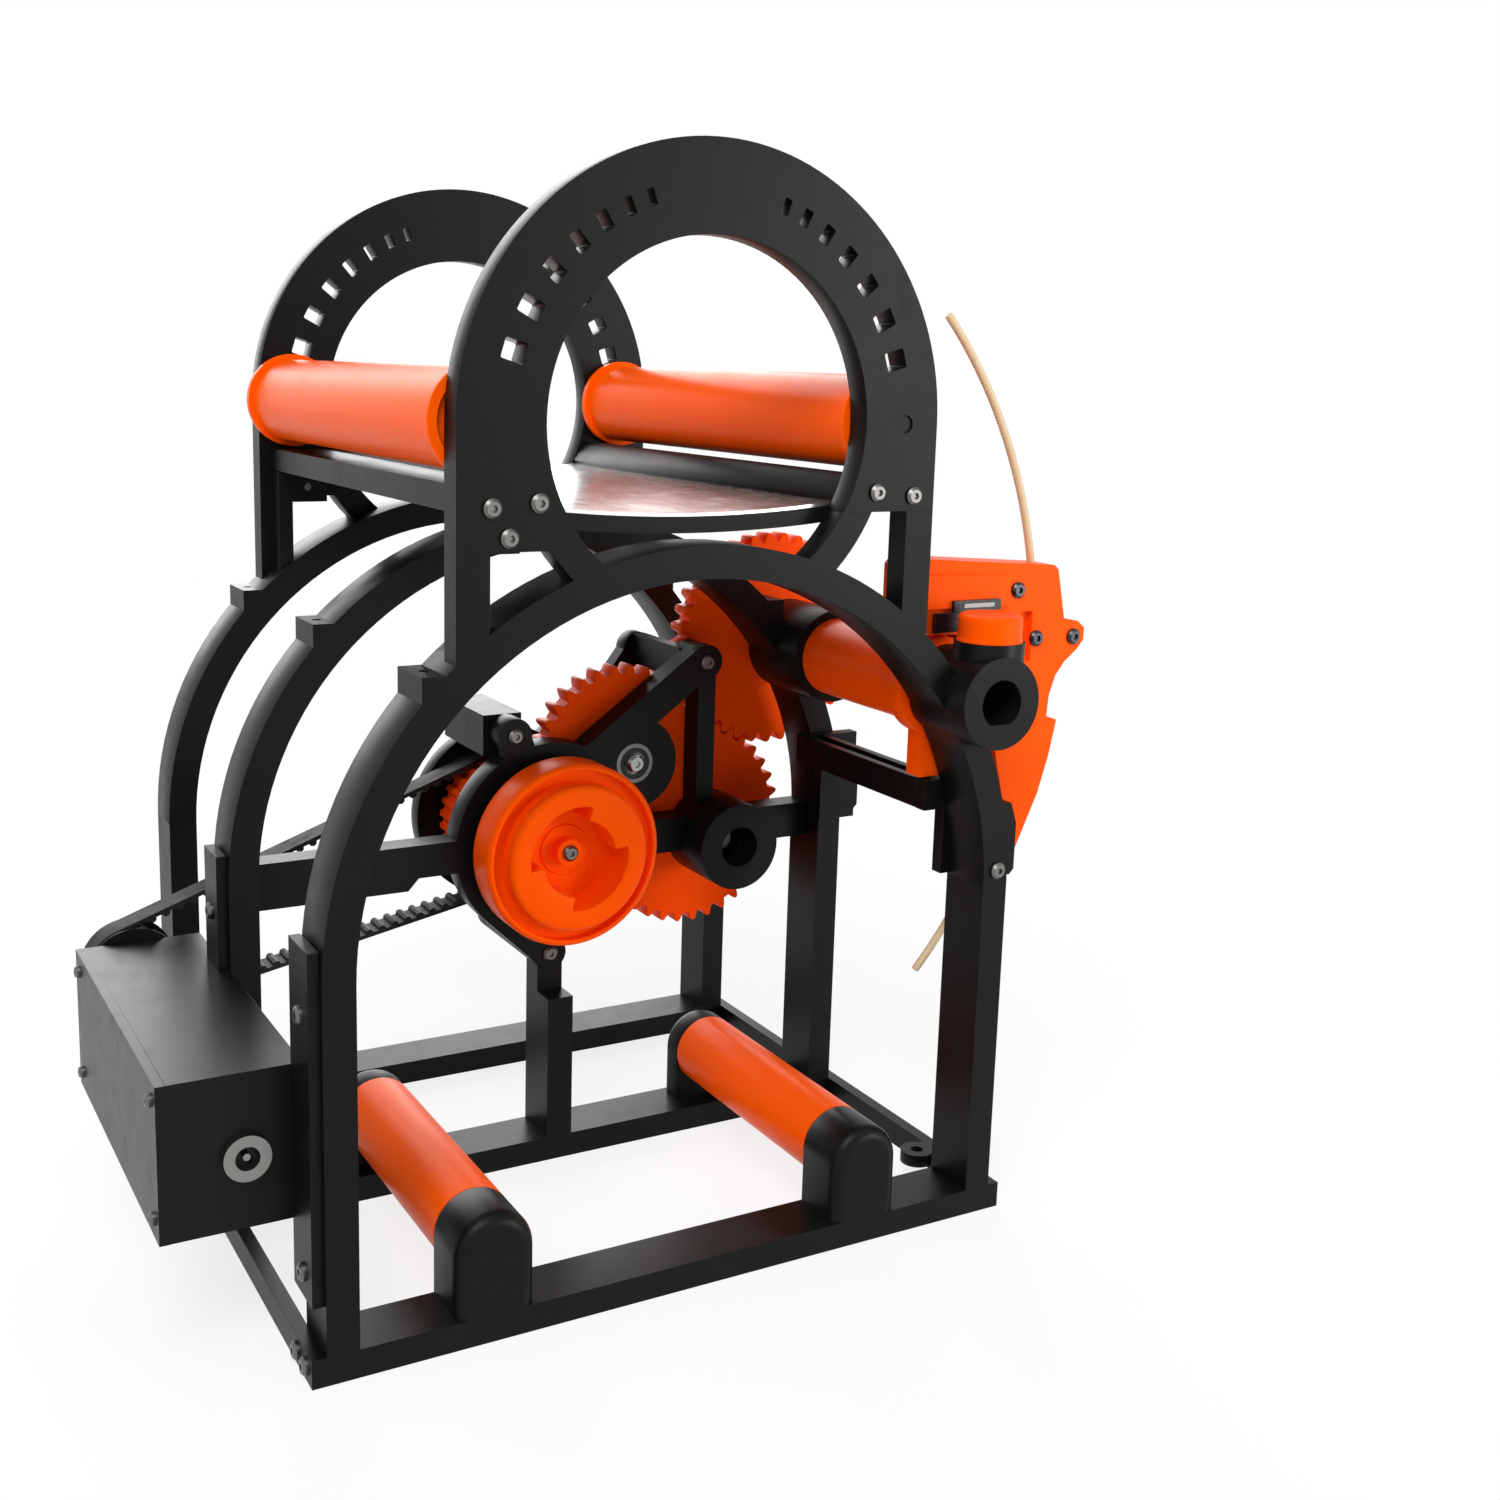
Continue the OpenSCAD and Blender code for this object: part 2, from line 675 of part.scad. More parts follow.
module tab_hole(side, y) {
    z = hub_height + arch_r * 0.64 + tab_high;
    translate([side * arch_r * 0.72, y, z - tab_high * 0.8])
        cylinder(h = tab_high, r = tab_hole_r, $fn = fn);
}
module foot_holes(y0) {
    for (s = [-1, 1]) for (k = [0.3, 0.75])
        side_hole(y0 + panel_t * k, beam_high / 2, s > 0 ? arch_r - arch_bar : -half_base,
            s > 0 ? half_base : -arch_r + arch_bar, shank_r + screw_play);
}
module bracket_outline_top() {
    intersection() {
        union() {
            rect(0, low_roller_r - bracket_round, 0, long);
            rect(0, low_roller_r, bracket_round, long);
            translate([low_roller_r - bracket_round, bracket_round])
                circle(r = bracket_round, $fn = fn);
        }
        rect(0, low_roller_r, 0, long);
    }
}
module bracket(deep) {
    // Upright with a rounded outer edge and a domed top; its outer face is at y = 0
    intersection() {
        union() {
            translate([0, 0, low_roller_z]) rotate([-90, 0, 0])
                rotate_extrude($fn = fn) bracket_outline_top();
            translate([0, 0, beam_high]) linear_extrude(height = low_roller_z - beam_high)
                union() {
                    bracket_outline_top();
                    mirror([1, 0]) bracket_outline_top();
                }
        }
        box(-low_roller_r, low_roller_r, 0, deep, beam_high, low_roller_z + low_roller_r);
    }
}
module low_axle_holes(y0, y1) {
    for (s = [-1, 1]) rod([s * low_roller_x, low_roller_z], y0, y1, low_axle_r + screw_play);
}
front_bracket_t = panel_t - low_end_gap;
low_roller_y = panel_t;
low_roller_end = mid_end - rear_bracket_t - low_end_gap;
axle_y = front_bracket_t - axle_seat;
axle_end = mid_end - rear_bracket_t + axle_seat;

// Frame nodes
module traverse_bore(y0, y1) {
    rod(traverse_c, y0, y1, journal_r + free_gap);
}
module front_arch() {
    color(black) difference() {
        union() {
            slab(0, panel_t) {
                arch_outline();
                tab(-1);
            }
            slab(0, ring_t) pedestal_outline();
            slab(ring_t, ring_t) difference() {
                union() {
                    outline(lap_left_shares);
                    outline(lap_right_shares);
                }
                disc(hub_c, arch_in + arch_bar / 2);
            }
            rod(traverse_c, -front_boss_out, panel_t, front_boss_r);
            translate([traverse_x + cap_post_shift, cap_post_y, traverse_z])
                cylinder(h = cap_post_z - traverse_z, r = cap_post_r, $fn = fn);
            for (s = [-1, 1]) translate([s * low_roller_x, 0, 0]) bracket(front_bracket_t);
        }
        slab(-front_boss_out - small, front_boss_out + small + bush_long * 0.8)
            translate(traverse_c) intersection() {
                circle(r = front_bore_r, $fn = fn);
                rect(-front_bore_r, front_bore_r, -bore_flat, front_bore_r);
            }
        rod(traverse_c, bush_long * 0.8 - small, panel_t - free_gap * 5, bush_r);
        traverse_bore(0, panel_t + small);
        translate([traverse_x + cap_post_shift, cap_post_y, cap_post_z - cap_peg_long])
            cylinder(h = cap_peg_long + small, r = cap_peg_r + screw_play, $fn = fn);
        tab_hole(-1, panel_t / 2);
        foot_holes(0);
        ring_screw_holes(ring_t - small, ring_t * 2 + small);
        low_axle_holes(axle_y, panel_t);
        strap_holes(0);
        clip_hole(-small, panel_t + small);
    }
}
module clip_hole(y0, y1) {
    rod([arch_r - arch_bar * 0.45, clip_z + head_r * 2], y0, y1, shank_r + screw_play);
}
module strap_holes(y0) {
    for (z = [strap_hole_low, strap_hole_high])
        side_hole(y0 + strap_mid, z, box_right - strap_t - small, box_right + arch_bar * 0.9,
            shank_r + screw_play);
}
strap_mid = panel_t * 0.5;
strap_hole_high = strap_top_z - strap_wide * 1.28;
strap_hole_low = strap_low_z + strap_wide / 2;

module middle_arch() {
    color(black) difference() {
        union() {
            slab(middle_y, panel_t) {
                arch_outline();
                tab(-1);
                tab(1);
            }
            rod(traverse_c, rear_lug_y, mid_end, rear_lug_r);
            for (s = [-1, 1]) translate([s * low_roller_x, mid_end, 0])
                mirror([0, 1, 0]) bracket(rear_bracket_t);
        }
        rod(traverse_c, rear_lug_y + free_gap * 5, rear_lug_y + free_gap * 5 + bush_long, bush_r);
        traverse_bore(rear_lug_y - small, mid_end + small);
        for (s = [-1, 1]) tab_hole(s, middle_y + panel_t / 2);
        foot_holes(middle_y);
        low_axle_holes(mid_end - rear_bracket_t, axle_end);
        side_hole(middle_y + strap_mid, strap_hole_high, box_right - strap_t,
            box_right + arch_bar * 0.9, shank_r + screw_play);
        clip_hole(middle_y - small, mid_end + small);
    }
}
module rear_arch() {
    color(black) difference() {
        union() {
            slab(rear_y, panel_t) {
                arch_outline();
                tab(-1);
                tab(1);
            }
            slab(rear_ring_y, ring_t) pedestal_outline();
            slab(rear_ring_y - ring_t, ring_t) difference() {
                union() {
                    outline(lap_left_shares);
                    outline(lap_right_shares);
                }
                disc(hub_c, arch_in + arch_bar / 2);
            }
        }
        for (s = [-1, 1]) tab_hole(s, rear_y + panel_t / 2);
        foot_holes(rear_y);
        ring_screw_holes(rear_ring_y - ring_t - small, rear_ring_y + small);
    }
}
module rail_body() {
    difference() {
        box(arch_r, half_base, 0, base_depth, 0, beam_high);
        for (y = [0, middle_y, rear_y]) foot_holes(y);
    }
}
module left_side_rail() {
    color(black) mirror([1, 0, 0]) rail_body();
}
module right_side_rail() {
    color(black) difference() {
        union() {
            rail_body();
            translate([arch_r - lug_r, panel_t * 1.7, beam_high / 2])
                cylinder(h = beam_high / 2, r = lug_r, $fn = fn);
            box(arch_r - lug_r, arch_r, panel_t * 1.7 - lug_r * 0.7,
                panel_t * 1.7 + lug_r * 0.7, beam_high / 2, beam_high);
        }
        translate([arch_r - lug_r, panel_t * 1.7, 0])
            cylinder(h = beam_high * 2, r = lug_hole_r, $fn = fn);
    }
}
module base_screws() {
    color(steel) for (y = [0, middle_y, rear_y]) for (k = [0.3, 0.75]) both_sides()
        left_screw(y + panel_t * k, beam_high / 2, -half_base, side_rail_t + arch_bar * 0.8,
            head_r, shank_r);
}
module front_ring() {
    color(black) difference() {
        slab(0, ring_t) ring_outline();
        ring_screw_holes(-small, ring_t + small);
        top_axle_holes(top_axle_in, ring_t + small);
        rod([top_roller_x, ring_height], -small, top_axle_in / 4, top_axle_r);
    }
}
module rear_ring() {
    color(black) difference() {
        slab(rear_ring_y, ring_t) ring_outline();
        ring_screw_holes(rear_ring_y - small, base_depth + small);
        top_axle_holes(rear_ring_y - small, base_depth - top_axle_in);
    }
}
module ring_screws() {
    color(steel) for (p = concat(left_ring_screw_shares, right_ring_screw_shares))
        front_back() front_screw(p * pace, 0, ring_t * 1.9);
}
module tray_sheet_outline(extra, reach) {
    sheet_half = (tray_half + reach);
    sheet_r = (tray_half * tray_half + tray_sag * tray_sag) / (2 * tray_sag);
    translate([0, tray_edge_z - tray_sag + sheet_r]) intersection() {
        difference() {
            circle(r = sheet_r + extra, $fn = fn);
            circle(r = sheet_r - tray_t - extra, $fn = fn);
        }
        rect(-sheet_half, sheet_half, -sheet_r * 1.1, 0);
    }
}
tray_half = tray_rail_shares[7][0] * pace + arch_bar * 0.3;
module ring_rail_holes(shares) {
    for (p = shares) rod(p * pace, ring_t - small, ring_t * 2 + small, shank_r + screw_play);
}
module left_tray_rail() {
    color(black) mirror([1, 0, 0]) difference() {
        slab(ring_t, base_depth - ring_t * 2) rail_outline();
        front_back() mirror([1, 0, 0]) ring_rail_holes(left_ring_screw_shares);
    }
}
module right_tray_rail() {
    color(black) difference() {
        slab(ring_t, base_depth - ring_t * 2) rail_outline();
        front_back() ring_rail_holes(right_ring_screw_shares);
    }
}
module rail_outline() {
    difference() {
        outline(tray_rail_shares);
        tray_sheet_outline(screw_play, free_gap);
    }
}
module tray_sheet() {
    color(pale) slab(ring_t + free_gap, base_depth - ring_t * 2 - free_gap * 2)
        tray_sheet_outline(0, 0);
}
module saddle_outline() {
    sheet_r = (tray_half * tray_half + tray_sag * tray_sag) / (2 * tray_sag);
    edge = tray_rail_shares[7][0] * pace;
    translate([0, tray_edge_z - tray_sag + sheet_r]) intersection() {
        difference() {
            circle(r = sheet_r + saddle_high, $fn = fn);
            circle(r = sheet_r, $fn = fn);
        }
        rect(-edge, edge, -sheet_r * 1.1, 0);
    }
}
module front_tray_saddle() {
    color(black) slab(ring_t, saddle_t) saddle_outline();
}
module rear_tray_saddle() {
    color(black) slab(rear_ring_y - saddle_t, saddle_t) saddle_outline();
}

// Rollers
module top_roller_axles() {
    color(steel) for (s = [-1, 1])
        rod([s * top_roller_x, ring_height], top_axle_in + screw_play,
            base_depth - top_axle_in - screw_play, top_axle_r);
}
module top_roller(side) {
    y0 = ring_t + roller_end_gap;
    y1 = rear_ring_y - roller_end_gap;
    bore = top_axle_r + run_play;
    lip = top_rim_r - top_roller_r;
    turned([side * top_roller_x, ring_height]) polygon([[bore, y0 + lip],
        [top_roller_r - lip, y0 + lip], [top_roller_r - lip / 2, y0], [top_rim_r - small, y0],
        [top_rim_r, y0 + small], [top_rim_r, y0 + top_rim_t - small],
        [top_rim_r - small, y0 + top_rim_t], [top_roller_r, y0 + top_rim_t],
        [top_roller_r, y1 - top_rim_t], [top_rim_r - small, y1 - top_rim_t],
        [top_rim_r, y1 - top_rim_t + small], [top_rim_r, y1 - small],
        [top_rim_r - small, y1], [top_roller_r - lip / 2, y1],
        [top_roller_r - lip, y1 - lip], [bore, y1 - lip]]);
}
module top_roller_left() {
    color(orange) top_roller(-1);
}
module top_roller_right() {
    color(orange) top_roller(1);
}
module bottom_roller_axles() {
    color(steel) for (s = [-1, 1])
        rod([s * low_roller_x, low_roller_z], axle_y, axle_end, low_axle_r);
}
module bottom_roller(side) {
    difference() {
        rod([side * low_roller_x, low_roller_z], low_roller_y, low_roller_end, low_roller_r);
        rod([side * low_roller_x, low_roller_z], low_roller_y - small,
            low_roller_end + small, low_axle_r + run_play);
    }
}
module bottom_roller_left() {
    color(orange) bottom_roller(-1);
}
module bottom_roller_right() {
    color(orange) bottom_roller(1);
}

// Gearbox frame
module corner_holes(y0, y1, last) {
    for (i = [0:last]) rod(corner_shares[i] * pace, y0, y1, shank_r + screw_play);
}
module carrier_plate() {
    color(black) difference() {
        union() {
            slab(carrier_y, carrier_t) {
                disc(hub_c, carrier_r);
                outline(chamfer_shares);
                outline(left_arm_shares);
                outline(right_arm_shares);
                outline(bar_shares);
                outline(diagonal_shares);
                disc(idler_c, idler_disc_r);
                for (p = corner_shares) disc(p * pace, corner_r);
                link(hub_c, corner_shares[0] * pace, corner_r * 1.8);
                rect(-post_wide / 2, post_wide / 2, beam_high, hub_height - carrier_r);
            }
            slab(middle_y, panel_t) rect(-post_wide / 2, post_wide / 2, beam_high, post_step_z);
            rod(transfer_c, carrier_y - hollow_boss_long, mid_end, hollow_boss_r);
        }
        rod(hub_c, carrier_y - small, mid_end + small, hub_shaft_r + free_gap * 5);
        rod(hub_c, mid_end - hub_bearing_t, mid_end + small, hub_bearing_r);
        rod(idler_c, carrier_y - small, mid_end + small, idler_axle_r + free_gap * 3);
        rod(idler_c, carrier_y - small, carrier_y + idler_bearing_t, idler_bearing_r);
        rod(transfer_c, carrier_y - hollow_boss_long - small, carrier_y - free_gap * 5, hollow_bore_r);
        rod(transfer_c, carrier_y - hollow_boss_long, mid_end + small, transfer_axle_r + run_play);
        corner_holes(carrier_y - small, mid_end + small, 2);
    }
}
module rear_gear_plate() {
    color(black) difference() {
        slab(rear_plate_y, rear_plate_t) {
            disc(hub_c, rear_plate_r);
            disc(corner_shares[0] * pace, corner_r);
            disc(corner_shares[1] * pace, corner_r);
            disc(idler_c, idler_disc_r * 0.8);
            disc(transfer_c, idler_disc_r * 0.8);
            disc(upper_bar_c, corner_r);
            link(idler_c, upper_bar_c, corner_r * 1.6);
            link(hub_c, corner_shares[0] * pace, corner_r * 1.8);
            link(hub_c, corner_shares[1] * pace, corner_r * 1.8);
            link(hub_c, idler_c, idler_disc_r * 1.4);
            link(hub_c, transfer_c, idler_disc_r * 1.1);
        }
        rod(hub_c, rear_plate_y - small, rear_plate_end + small, hub_bearing_r);
        rod(idler_c, rear_plate_y - small, rear_plate_end + small, idler_axle_r + free_gap * 3);
        rod(idler_c, rear_plate_end - idler_bearing_t, rear_plate_end + small, idler_bearing_r);
        rod(transfer_c, rear_plate_y - small, rear_plate_end + small, transfer_axle_r + run_play);
        corner_holes(rear_plate_y - small, rear_plate_end + small, 1);
        rod(upper_bar_c, rear_plate_y - small, rear_plate_end + small, shank_r + screw_play);
    }
}
upper_bar_c = [upper_bar_shares[0] + upper_bar_shares[1],
    upper_bar_shares[2] + upper_bar_shares[3]] * pace / 2;
module spacer_bars() {
    c = corner_shares[0] * pace;
    b = upper_bar_shares * pace;
    color(black) difference() {
        union() {
            box(c[0] - corner_r * 1.3, c[0] + corner_r, mid_end, rear_plate_y,
                c[1] - corner_r * 1.3, c[1] + corner_r);
            rod(corner_shares[1] * pace, mid_end, rear_plate_y, corner_r);
            rod(corner_shares[2] * pace, mid_end, mid_end + blind_spacer, corner_r);
            box(b[0], b[1], mid_end, rear_plate_y, b[2], b[3]);
        }
        corner_holes(mid_end - small, rear_plate_y + small, 1);
        corner_holes(mid_end - small, mid_end + blind_spacer * 0.8, 2);
        rod(upper_bar_c, rear_plate_y - panel_t * 0.4, rear_plate_y + small, shank_r + screw_play);
    }
}
module gearbox_screws() {
    color(steel) {
        for (i = [0:2]) front_screw(corner_shares[i] * pace, carrier_y,
            i < 2 ? rear_plate_end - carrier_y : carrier_t + blind_spacer * 0.6);
        rear_screw(upper_bar_c, rear_plate_end, rear_plate_t + panel_t * 0.35);
    }
}
module bearing(c, y0, t, r, bore) {
    // One closed ring with shallow dished faces
    turned(c) polygon([[bore, y0], [bore + (r - bore) * 0.3, y0],
        [bore + (r - bore) * 0.34, y0 + t * 0.1], [r - (r - bore) * 0.34, y0 + t * 0.1],
        [r - (r - bore) * 0.3, y0], [r, y0], [r, y0 + t], [r - (r - bore) * 0.3, y0 + t],
        [r - (r - bore) * 0.34, y0 + t * 0.9], [bore + (r - bore) * 0.34, y0 + t * 0.9],
        [bore + (r - bore) * 0.3, y0 + t], [bore, y0 + t]]);
}
module hub_bearings() {
    color(steel) for (y = [mid_end - hub_bearing_t, rear_plate_y])
        bearing(hub_c, y, hub_bearing_t, hub_bearing_r, hub_shaft_r + run_play);
}
module idler_bearings() {
    color(steel) for (y = [carrier_y, rear_plate_end - idler_bearing_t])
        bearing(idler_c, y, idler_bearing_t, idler_bearing_r, idler_axle_r + run_play);
}

// Hub
module lug_sector(from, to) {
    far = socket_r * 1.5;
    polygon([[0, 0], polar(far, from), polar(far, (from + to) / 2), polar(far, to)]);
}
module hub_socket() {
    back = hub_flange_y + hub_flange_t;
    soft = hub_lip_high / 4;
    color(orange) difference() {
        turned(hub_c) polygon([[0, hub_lip_y + small], [hub_lip_r - soft * 2, hub_lip_y],
            [hub_lip_r - soft, hub_lip_y + small], [hub_lip_r, hub_lip_y + soft],
            [hub_lip_r, hub_flange_y + rim_groove_deep], [rim_groove_r, hub_flange_y + rim_groove_deep],
            [rim_groove_r + small, hub_flange_y], [hub_flange_r - soft, hub_flange_y],
            [hub_flange_r, hub_flange_y + soft], [hub_flange_r, back - soft],
            [hub_flange_r - soft, back], [hub_barrel_r, back], [hub_barrel_r, hub_back_y],
            [0, hub_back_y]]);
        difference() {
            slab(hub_lip_y - small, socket_deep + small) translate(hub_c) difference() {
                circle(r = socket_r, $fn = fn);
                difference() {
                    union() {
                        lug_sector(8, 76);
                        lug_sector(188, 262);
                    }
                    circle(r = socket_lug_r, $fn = fn);
                }
            }
            rod(hub_c, centre_boss_y, socket_floor_y + small, centre_boss_r);
            rod(hub_c, socket_floor_y - small * 4, socket_floor_y + small, centre_step_r);
        }
        rod(hub_c, centre_boss_y - small, shaft_front_y + small, shank_r + screw_play);
        rod(hub_c, shaft_front_y, hub_back_y + small, hub_shaft_r);
    }
}
module hub_shaft() {
    color(steel) difference() {
        rod(hub_c, shaft_front_y, shaft_end_y, hub_shaft_r);
        rod(hub_c, shaft_front_y - small, shaft_front_y + arch_bar, shank_r + screw_play);
    }
}
module hub_screw() {
    color(steel) front_screw(hub_c, centre_boss_y,
        shaft_front_y - centre_boss_y + arch_bar * 0.9);
}
module hub_pulley() {
    color(orange) difference() {
        union() {
            slab(gear1_y, gear_t + plane_gap) translate(hub_c) rotate(idler_dir)
                pinion_outline(teeth_hub);
            slab(gear2_y + plate_gap, belt_end - gear2_y - plate_gap) translate(hub_c)
                pulley_outline(teeth_hub_pulley, hub_pulley_r);
            rod(hub_c, gear1_y - free_gap, rear_plate_y - free_gap, hub_shaft_r * 1.35);
        }
        rod(hub_c, gear1_y - plate_gap, rear_plate_y, hub_shaft_r);
    }
}

// Gear train
module idler_gear() {
    color(orange) difference() {
        union() {
            slab(gear1_y, gear_t) translate(idler_c) rotate(idler_turn)
                wheel_outline(teeth_idler);
            slab(gear1_end, gear_t + plane_gap * 1.6) translate(idler_c) rotate(transfer_dir)
                pinion_outline(teeth_second);
            rod(idler_c, gear1_y - plate_gap / 2, rear_plate_y - free_gap, idler_axle_r * 2);
        }
        rod(idler_c, gear1_y - plate_gap, rear_plate_y, idler_axle_r);
    }
}
module idler_axle() {
    color(steel) {
        translate([idler_c[0], carrier_y - free_gap, idler_c[1]]) rotate([90, 0, 0])
            screw_at(head_r * 1.25, idler_axle_r, rear_plate_end - carrier_y + free_gap * 3);
    }
}
module transfer_gear() {
    color(orange) difference() {
        union() {
            slab(gear2_y, gear_t) translate(transfer_c) rotate(transfer_turn)
                wheel_outline(teeth_transfer);
            rod(transfer_c, mid_end + free_gap, rear_plate_y - free_gap, collar_r);
        }
        rod(transfer_c, mid_end, rear_plate_y, transfer_axle_r);
    }
}
module transfer_axle() {
    color(steel) {
        translate([transfer_c[0], carrier_y - free_gap * 6, transfer_c[1]]) rotate([90, 0, 0])
            screw_at(hollow_bore_r * 0.7, transfer_axle_r, rear_plate_end - carrier_y + free_gap * 8);
    }
}
module traverse_gear() {
    color(orange) difference() {
        union() {
            slab(gear2_y, gear_t) translate(traverse_c) rotate(traverse_turn)
                long_wheel_outline(teeth_traverse);
            rod(traverse_c, mid_end + free_gap, gear2_end + plane_gap * 2, collar_r);
        }
        rod(traverse_c, mid_end, gear2_end + plane_gap * 3, journal_r);
    }
}
module traverse_screw() {
    y0 = tube_y + plate_gap;
    y1 = rear_lug_y - plate_gap;
    turn_long = y1 - y0 - groove_deep * 4;
    color(steel) difference() {
        union() {
            rod(traverse_c, bush_long * 0.85, gear2_end + plane_gap * 3, journal_r);
            rod(traverse_c, y0, y1, screw_r);
        }
        for (s = [-1, 1])
            translate([traverse_x, y0 + groove_deep * 2, traverse_z]) rotate([-90, 0, 0])
                linear_extrude(height = turn_long, twist = s * 360 * turn_long / groove_pitch,
                    slices = 72) translate([screw_r, 0]) circle(r = groove_deep, $fn = 6);
    }
}
module traverse_bushes() {
    color(steel) for (y = [bush_long * 0.8, rear_lug_y + free_gap * 5]) difference() {
        rod(traverse_c, y, y + bush_long, bush_r);
        rod(traverse_c, y - small, y + bush_long + small, journal_r + run_play);
    }
}
module boss_cap() {
    color(orange) translate([traverse_x + cap_post_shift, cap_post_y, cap_post_z]) rotate_extrude($fn = fn)
        polygon([[0, -cap_peg_long], [cap_peg_r, -cap_peg_long], [cap_peg_r, 0],
            [cap_r * 1.04, 0], [cap_r, cap_round], [cap_r, cap_high - cap_round],
            [cap_r - cap_round * 0.3, cap_high - cap_round * 0.3],
            [cap_r - cap_round, cap_high], [0, cap_high]]);
}
module guide_tube() {
    color(orange) difference() {
        rod(traverse_c, tube_y, rear_lug_y, tube_r);
        rod(traverse_c, tube_y - small, rear_lug_y + small, tube_bore_r);
        box(traverse_x, traverse_x + tube_r * 2, follower_y - tube_slot * 0.8,
            follower_y + guide_travel + tube_slot * 0.8,
            traverse_z - tube_slot / 2, traverse_z + tube_slot / 2);
    }
}
follower_y = guide_y + guide_long / 2;
module guide_rail() {
    color(black) difference() {
        box(rail_x, rail_x + rail_wide, panel_t + clip_t, middle_y - clip_t, rail_z,
            rail_z + rail_high);
        box(rail_x + (rail_wide - rail_groove) / 2, rail_x + (rail_wide + rail_groove) / 2,
            panel_t, middle_y, rail_z + rail_high - rail_groove_deep, rail_z + rail_high * 2);
    }
}
module rail_clip() {
    // Block behind the leg, a cheek outside it; the leg's inner face is at y = panel_t
    difference() {
        union() {
            box(rail_x, arch_r + cheek_t, panel_t, panel_t + clip_t, rail_z, rail_z + rail_high);
            box(arch_in - rail_groove * 0.75, arch_r + cheek_t, panel_t, panel_t + clip_t, clip_z,
                rail_z + rail_high * 0.8);
            slab(panel_t * 0.1, panel_t * 0.9 + clip_t) difference() {
                outline(cheek_shares);
                disc(hub_c, arch_r + screw_play);
            }
        }
        clip_hole(panel_t - small, panel_t + clip_t * 0.9);
    }
}
module front_rail_clip() {
    color(black) rail_clip();
}
module rear_rail_clip() {
    color(black) translate([0, mid_end, 0]) mirror([0, 1, 0]) rail_clip();
}
module rail_clip_screws() {
    c = [arch_r - arch_bar * 0.45, clip_z + head_r * 2];
    color(steel) {
        front_screw(c, 0, panel_t + clip_t * 0.8);
        rear_screw(c, mid_end, panel_t + clip_t * 0.8);
    }
}

// Motor box
box_post_y = [box_y + box_wall, box_end - box_wall - box_post];
box_post_z = [box_z + box_wall, box_top - box_wall - box_post];
module lid_screw_holes(x1) {
    for (y = box_post_y) for (z = box_post_z)
        side_hole(y + box_post / 2, z + box_post / 2, box_left - small, x1,
            small_shank_r + screw_play);
}
module motor_box() {
    color(black) difference() {
        union() {
            difference() {
                box(lid_right, box_right, box_y, box_end, box_z, box_top);
                box(lid_right - small, box_right - box_wall, box_y + box_wall,
                    box_end - box_wall, box_z + box_wall, box_top - box_wall);
            }
            for (y = box_post_y) for (z = box_post_z)
                box(lid_right, lid_right + box_post * 0.8, y, y + box_post, z, z + box_post);
        }
        lid_screw_holes(lid_right + box_post * 0.7);
        rod(motor_c, box_end - box_wall - small, box_end + small, motor_boss_r + screw_play);
        rod(inlet_shares * pace, box_y - small, box_y + box_wall + small,
            inlet_body_r + screw_play);
    }
}
module box_lid() {
    color(black) difference() {
        box(box_left, lid_right, box_y, box_end, box_z, box_top);
        lid_screw_holes(lid_right + small);
    }
}
module lid_screws() {
    color(steel) for (y = box_post_y) for (z = box_post_z)
        left_screw(y + box_post / 2, z + box_post / 2, box_left, lid_t + box_post * 0.6,
            small_head_r, small_shank_r);
}
module motor() {
    far = box_end - box_wall;
    c = [motor_x, motor_z - motor_offset];
    color(steel) difference() {
        union() {
            rod(c, far - motor_gearbox_long, far, motor_gearbox_r);
            rod(c, far - motor_gearbox_long - motor_can_long, far - motor_gearbox_long, motor_can_r);
            rod(motor_c, far - small, box_end + small, motor_boss_r);
        }
        rod(motor_c, far - motor_gearbox_long / 2, box_end + small * 2, motor_shaft_r + run_play);
    }
}
module motor_shaft() {
    color(steel) rod(motor_c, box_end - box_wall - motor_gearbox_long / 3,
        belt_end + pulley_flange_t, motor_shaft_r);
}
module motor_pulley() {
    color(black) difference() {
        union() {
            slab(belt_y - belt_gap, belt_wide + belt_gap * 2) translate(motor_c)
                pulley_outline(teeth_motor_pulley, motor_pulley_r);
            for (y = [belt_y - belt_gap - pulley_flange_t, belt_end + belt_gap])
                rod(motor_c, y, y + pulley_flange_t, motor_pulley_r + belt_t);
        }
        rod(motor_c, belt_y - arch_bar, belt_end + arch_bar, motor_shaft_r);
    }
}
module power_inlet() {
    c = inlet_shares * pace;
    color(steel) difference() {
        union() {
            rod(c, box_y - inlet_out, box_y, inlet_r);
            rod(c, box_y - inlet_out, box_y + inlet_long, inlet_body_r);
        }
        difference() {
            rod(c, box_y - inlet_out * 2, box_y + inlet_long * 0.7, inlet_bore_r);
            rod(c, box_y - inlet_out * 0.5, box_y + inlet_long, inlet_pin_r);
        }
    }
}
module box_straps() {
    y0 = strap_mid - strap_wide / 2;
    color(black) difference() {
        union() {
            box(box_right - strap_t, box_right, y0, panel_t, strap_low_z, strap_top_z);
            box(box_right - strap_t, box_right, middle_y + y0, middle_y + y0 + strap_wide,
                box_top, strap_top_z);
        }
        strap_holes(0);
        side_hole(middle_y + strap_mid, strap_hole_high, box_right - strap_t - small,
            box_right + small, shank_r + screw_play);
    }
}
module strap_screws() {
    x = box_right - strap_t;
    color(steel) {
        for (z = [strap_hole_low, strap_hole_high])
            left_screw(strap_mid, z, x, strap_t + arch_bar * 0.8, head_r, shank_r);
        left_screw(middle_y + strap_mid, strap_hole_high, x, strap_t + arch_bar * 0.8,
            head_r, shank_r);
    }
}

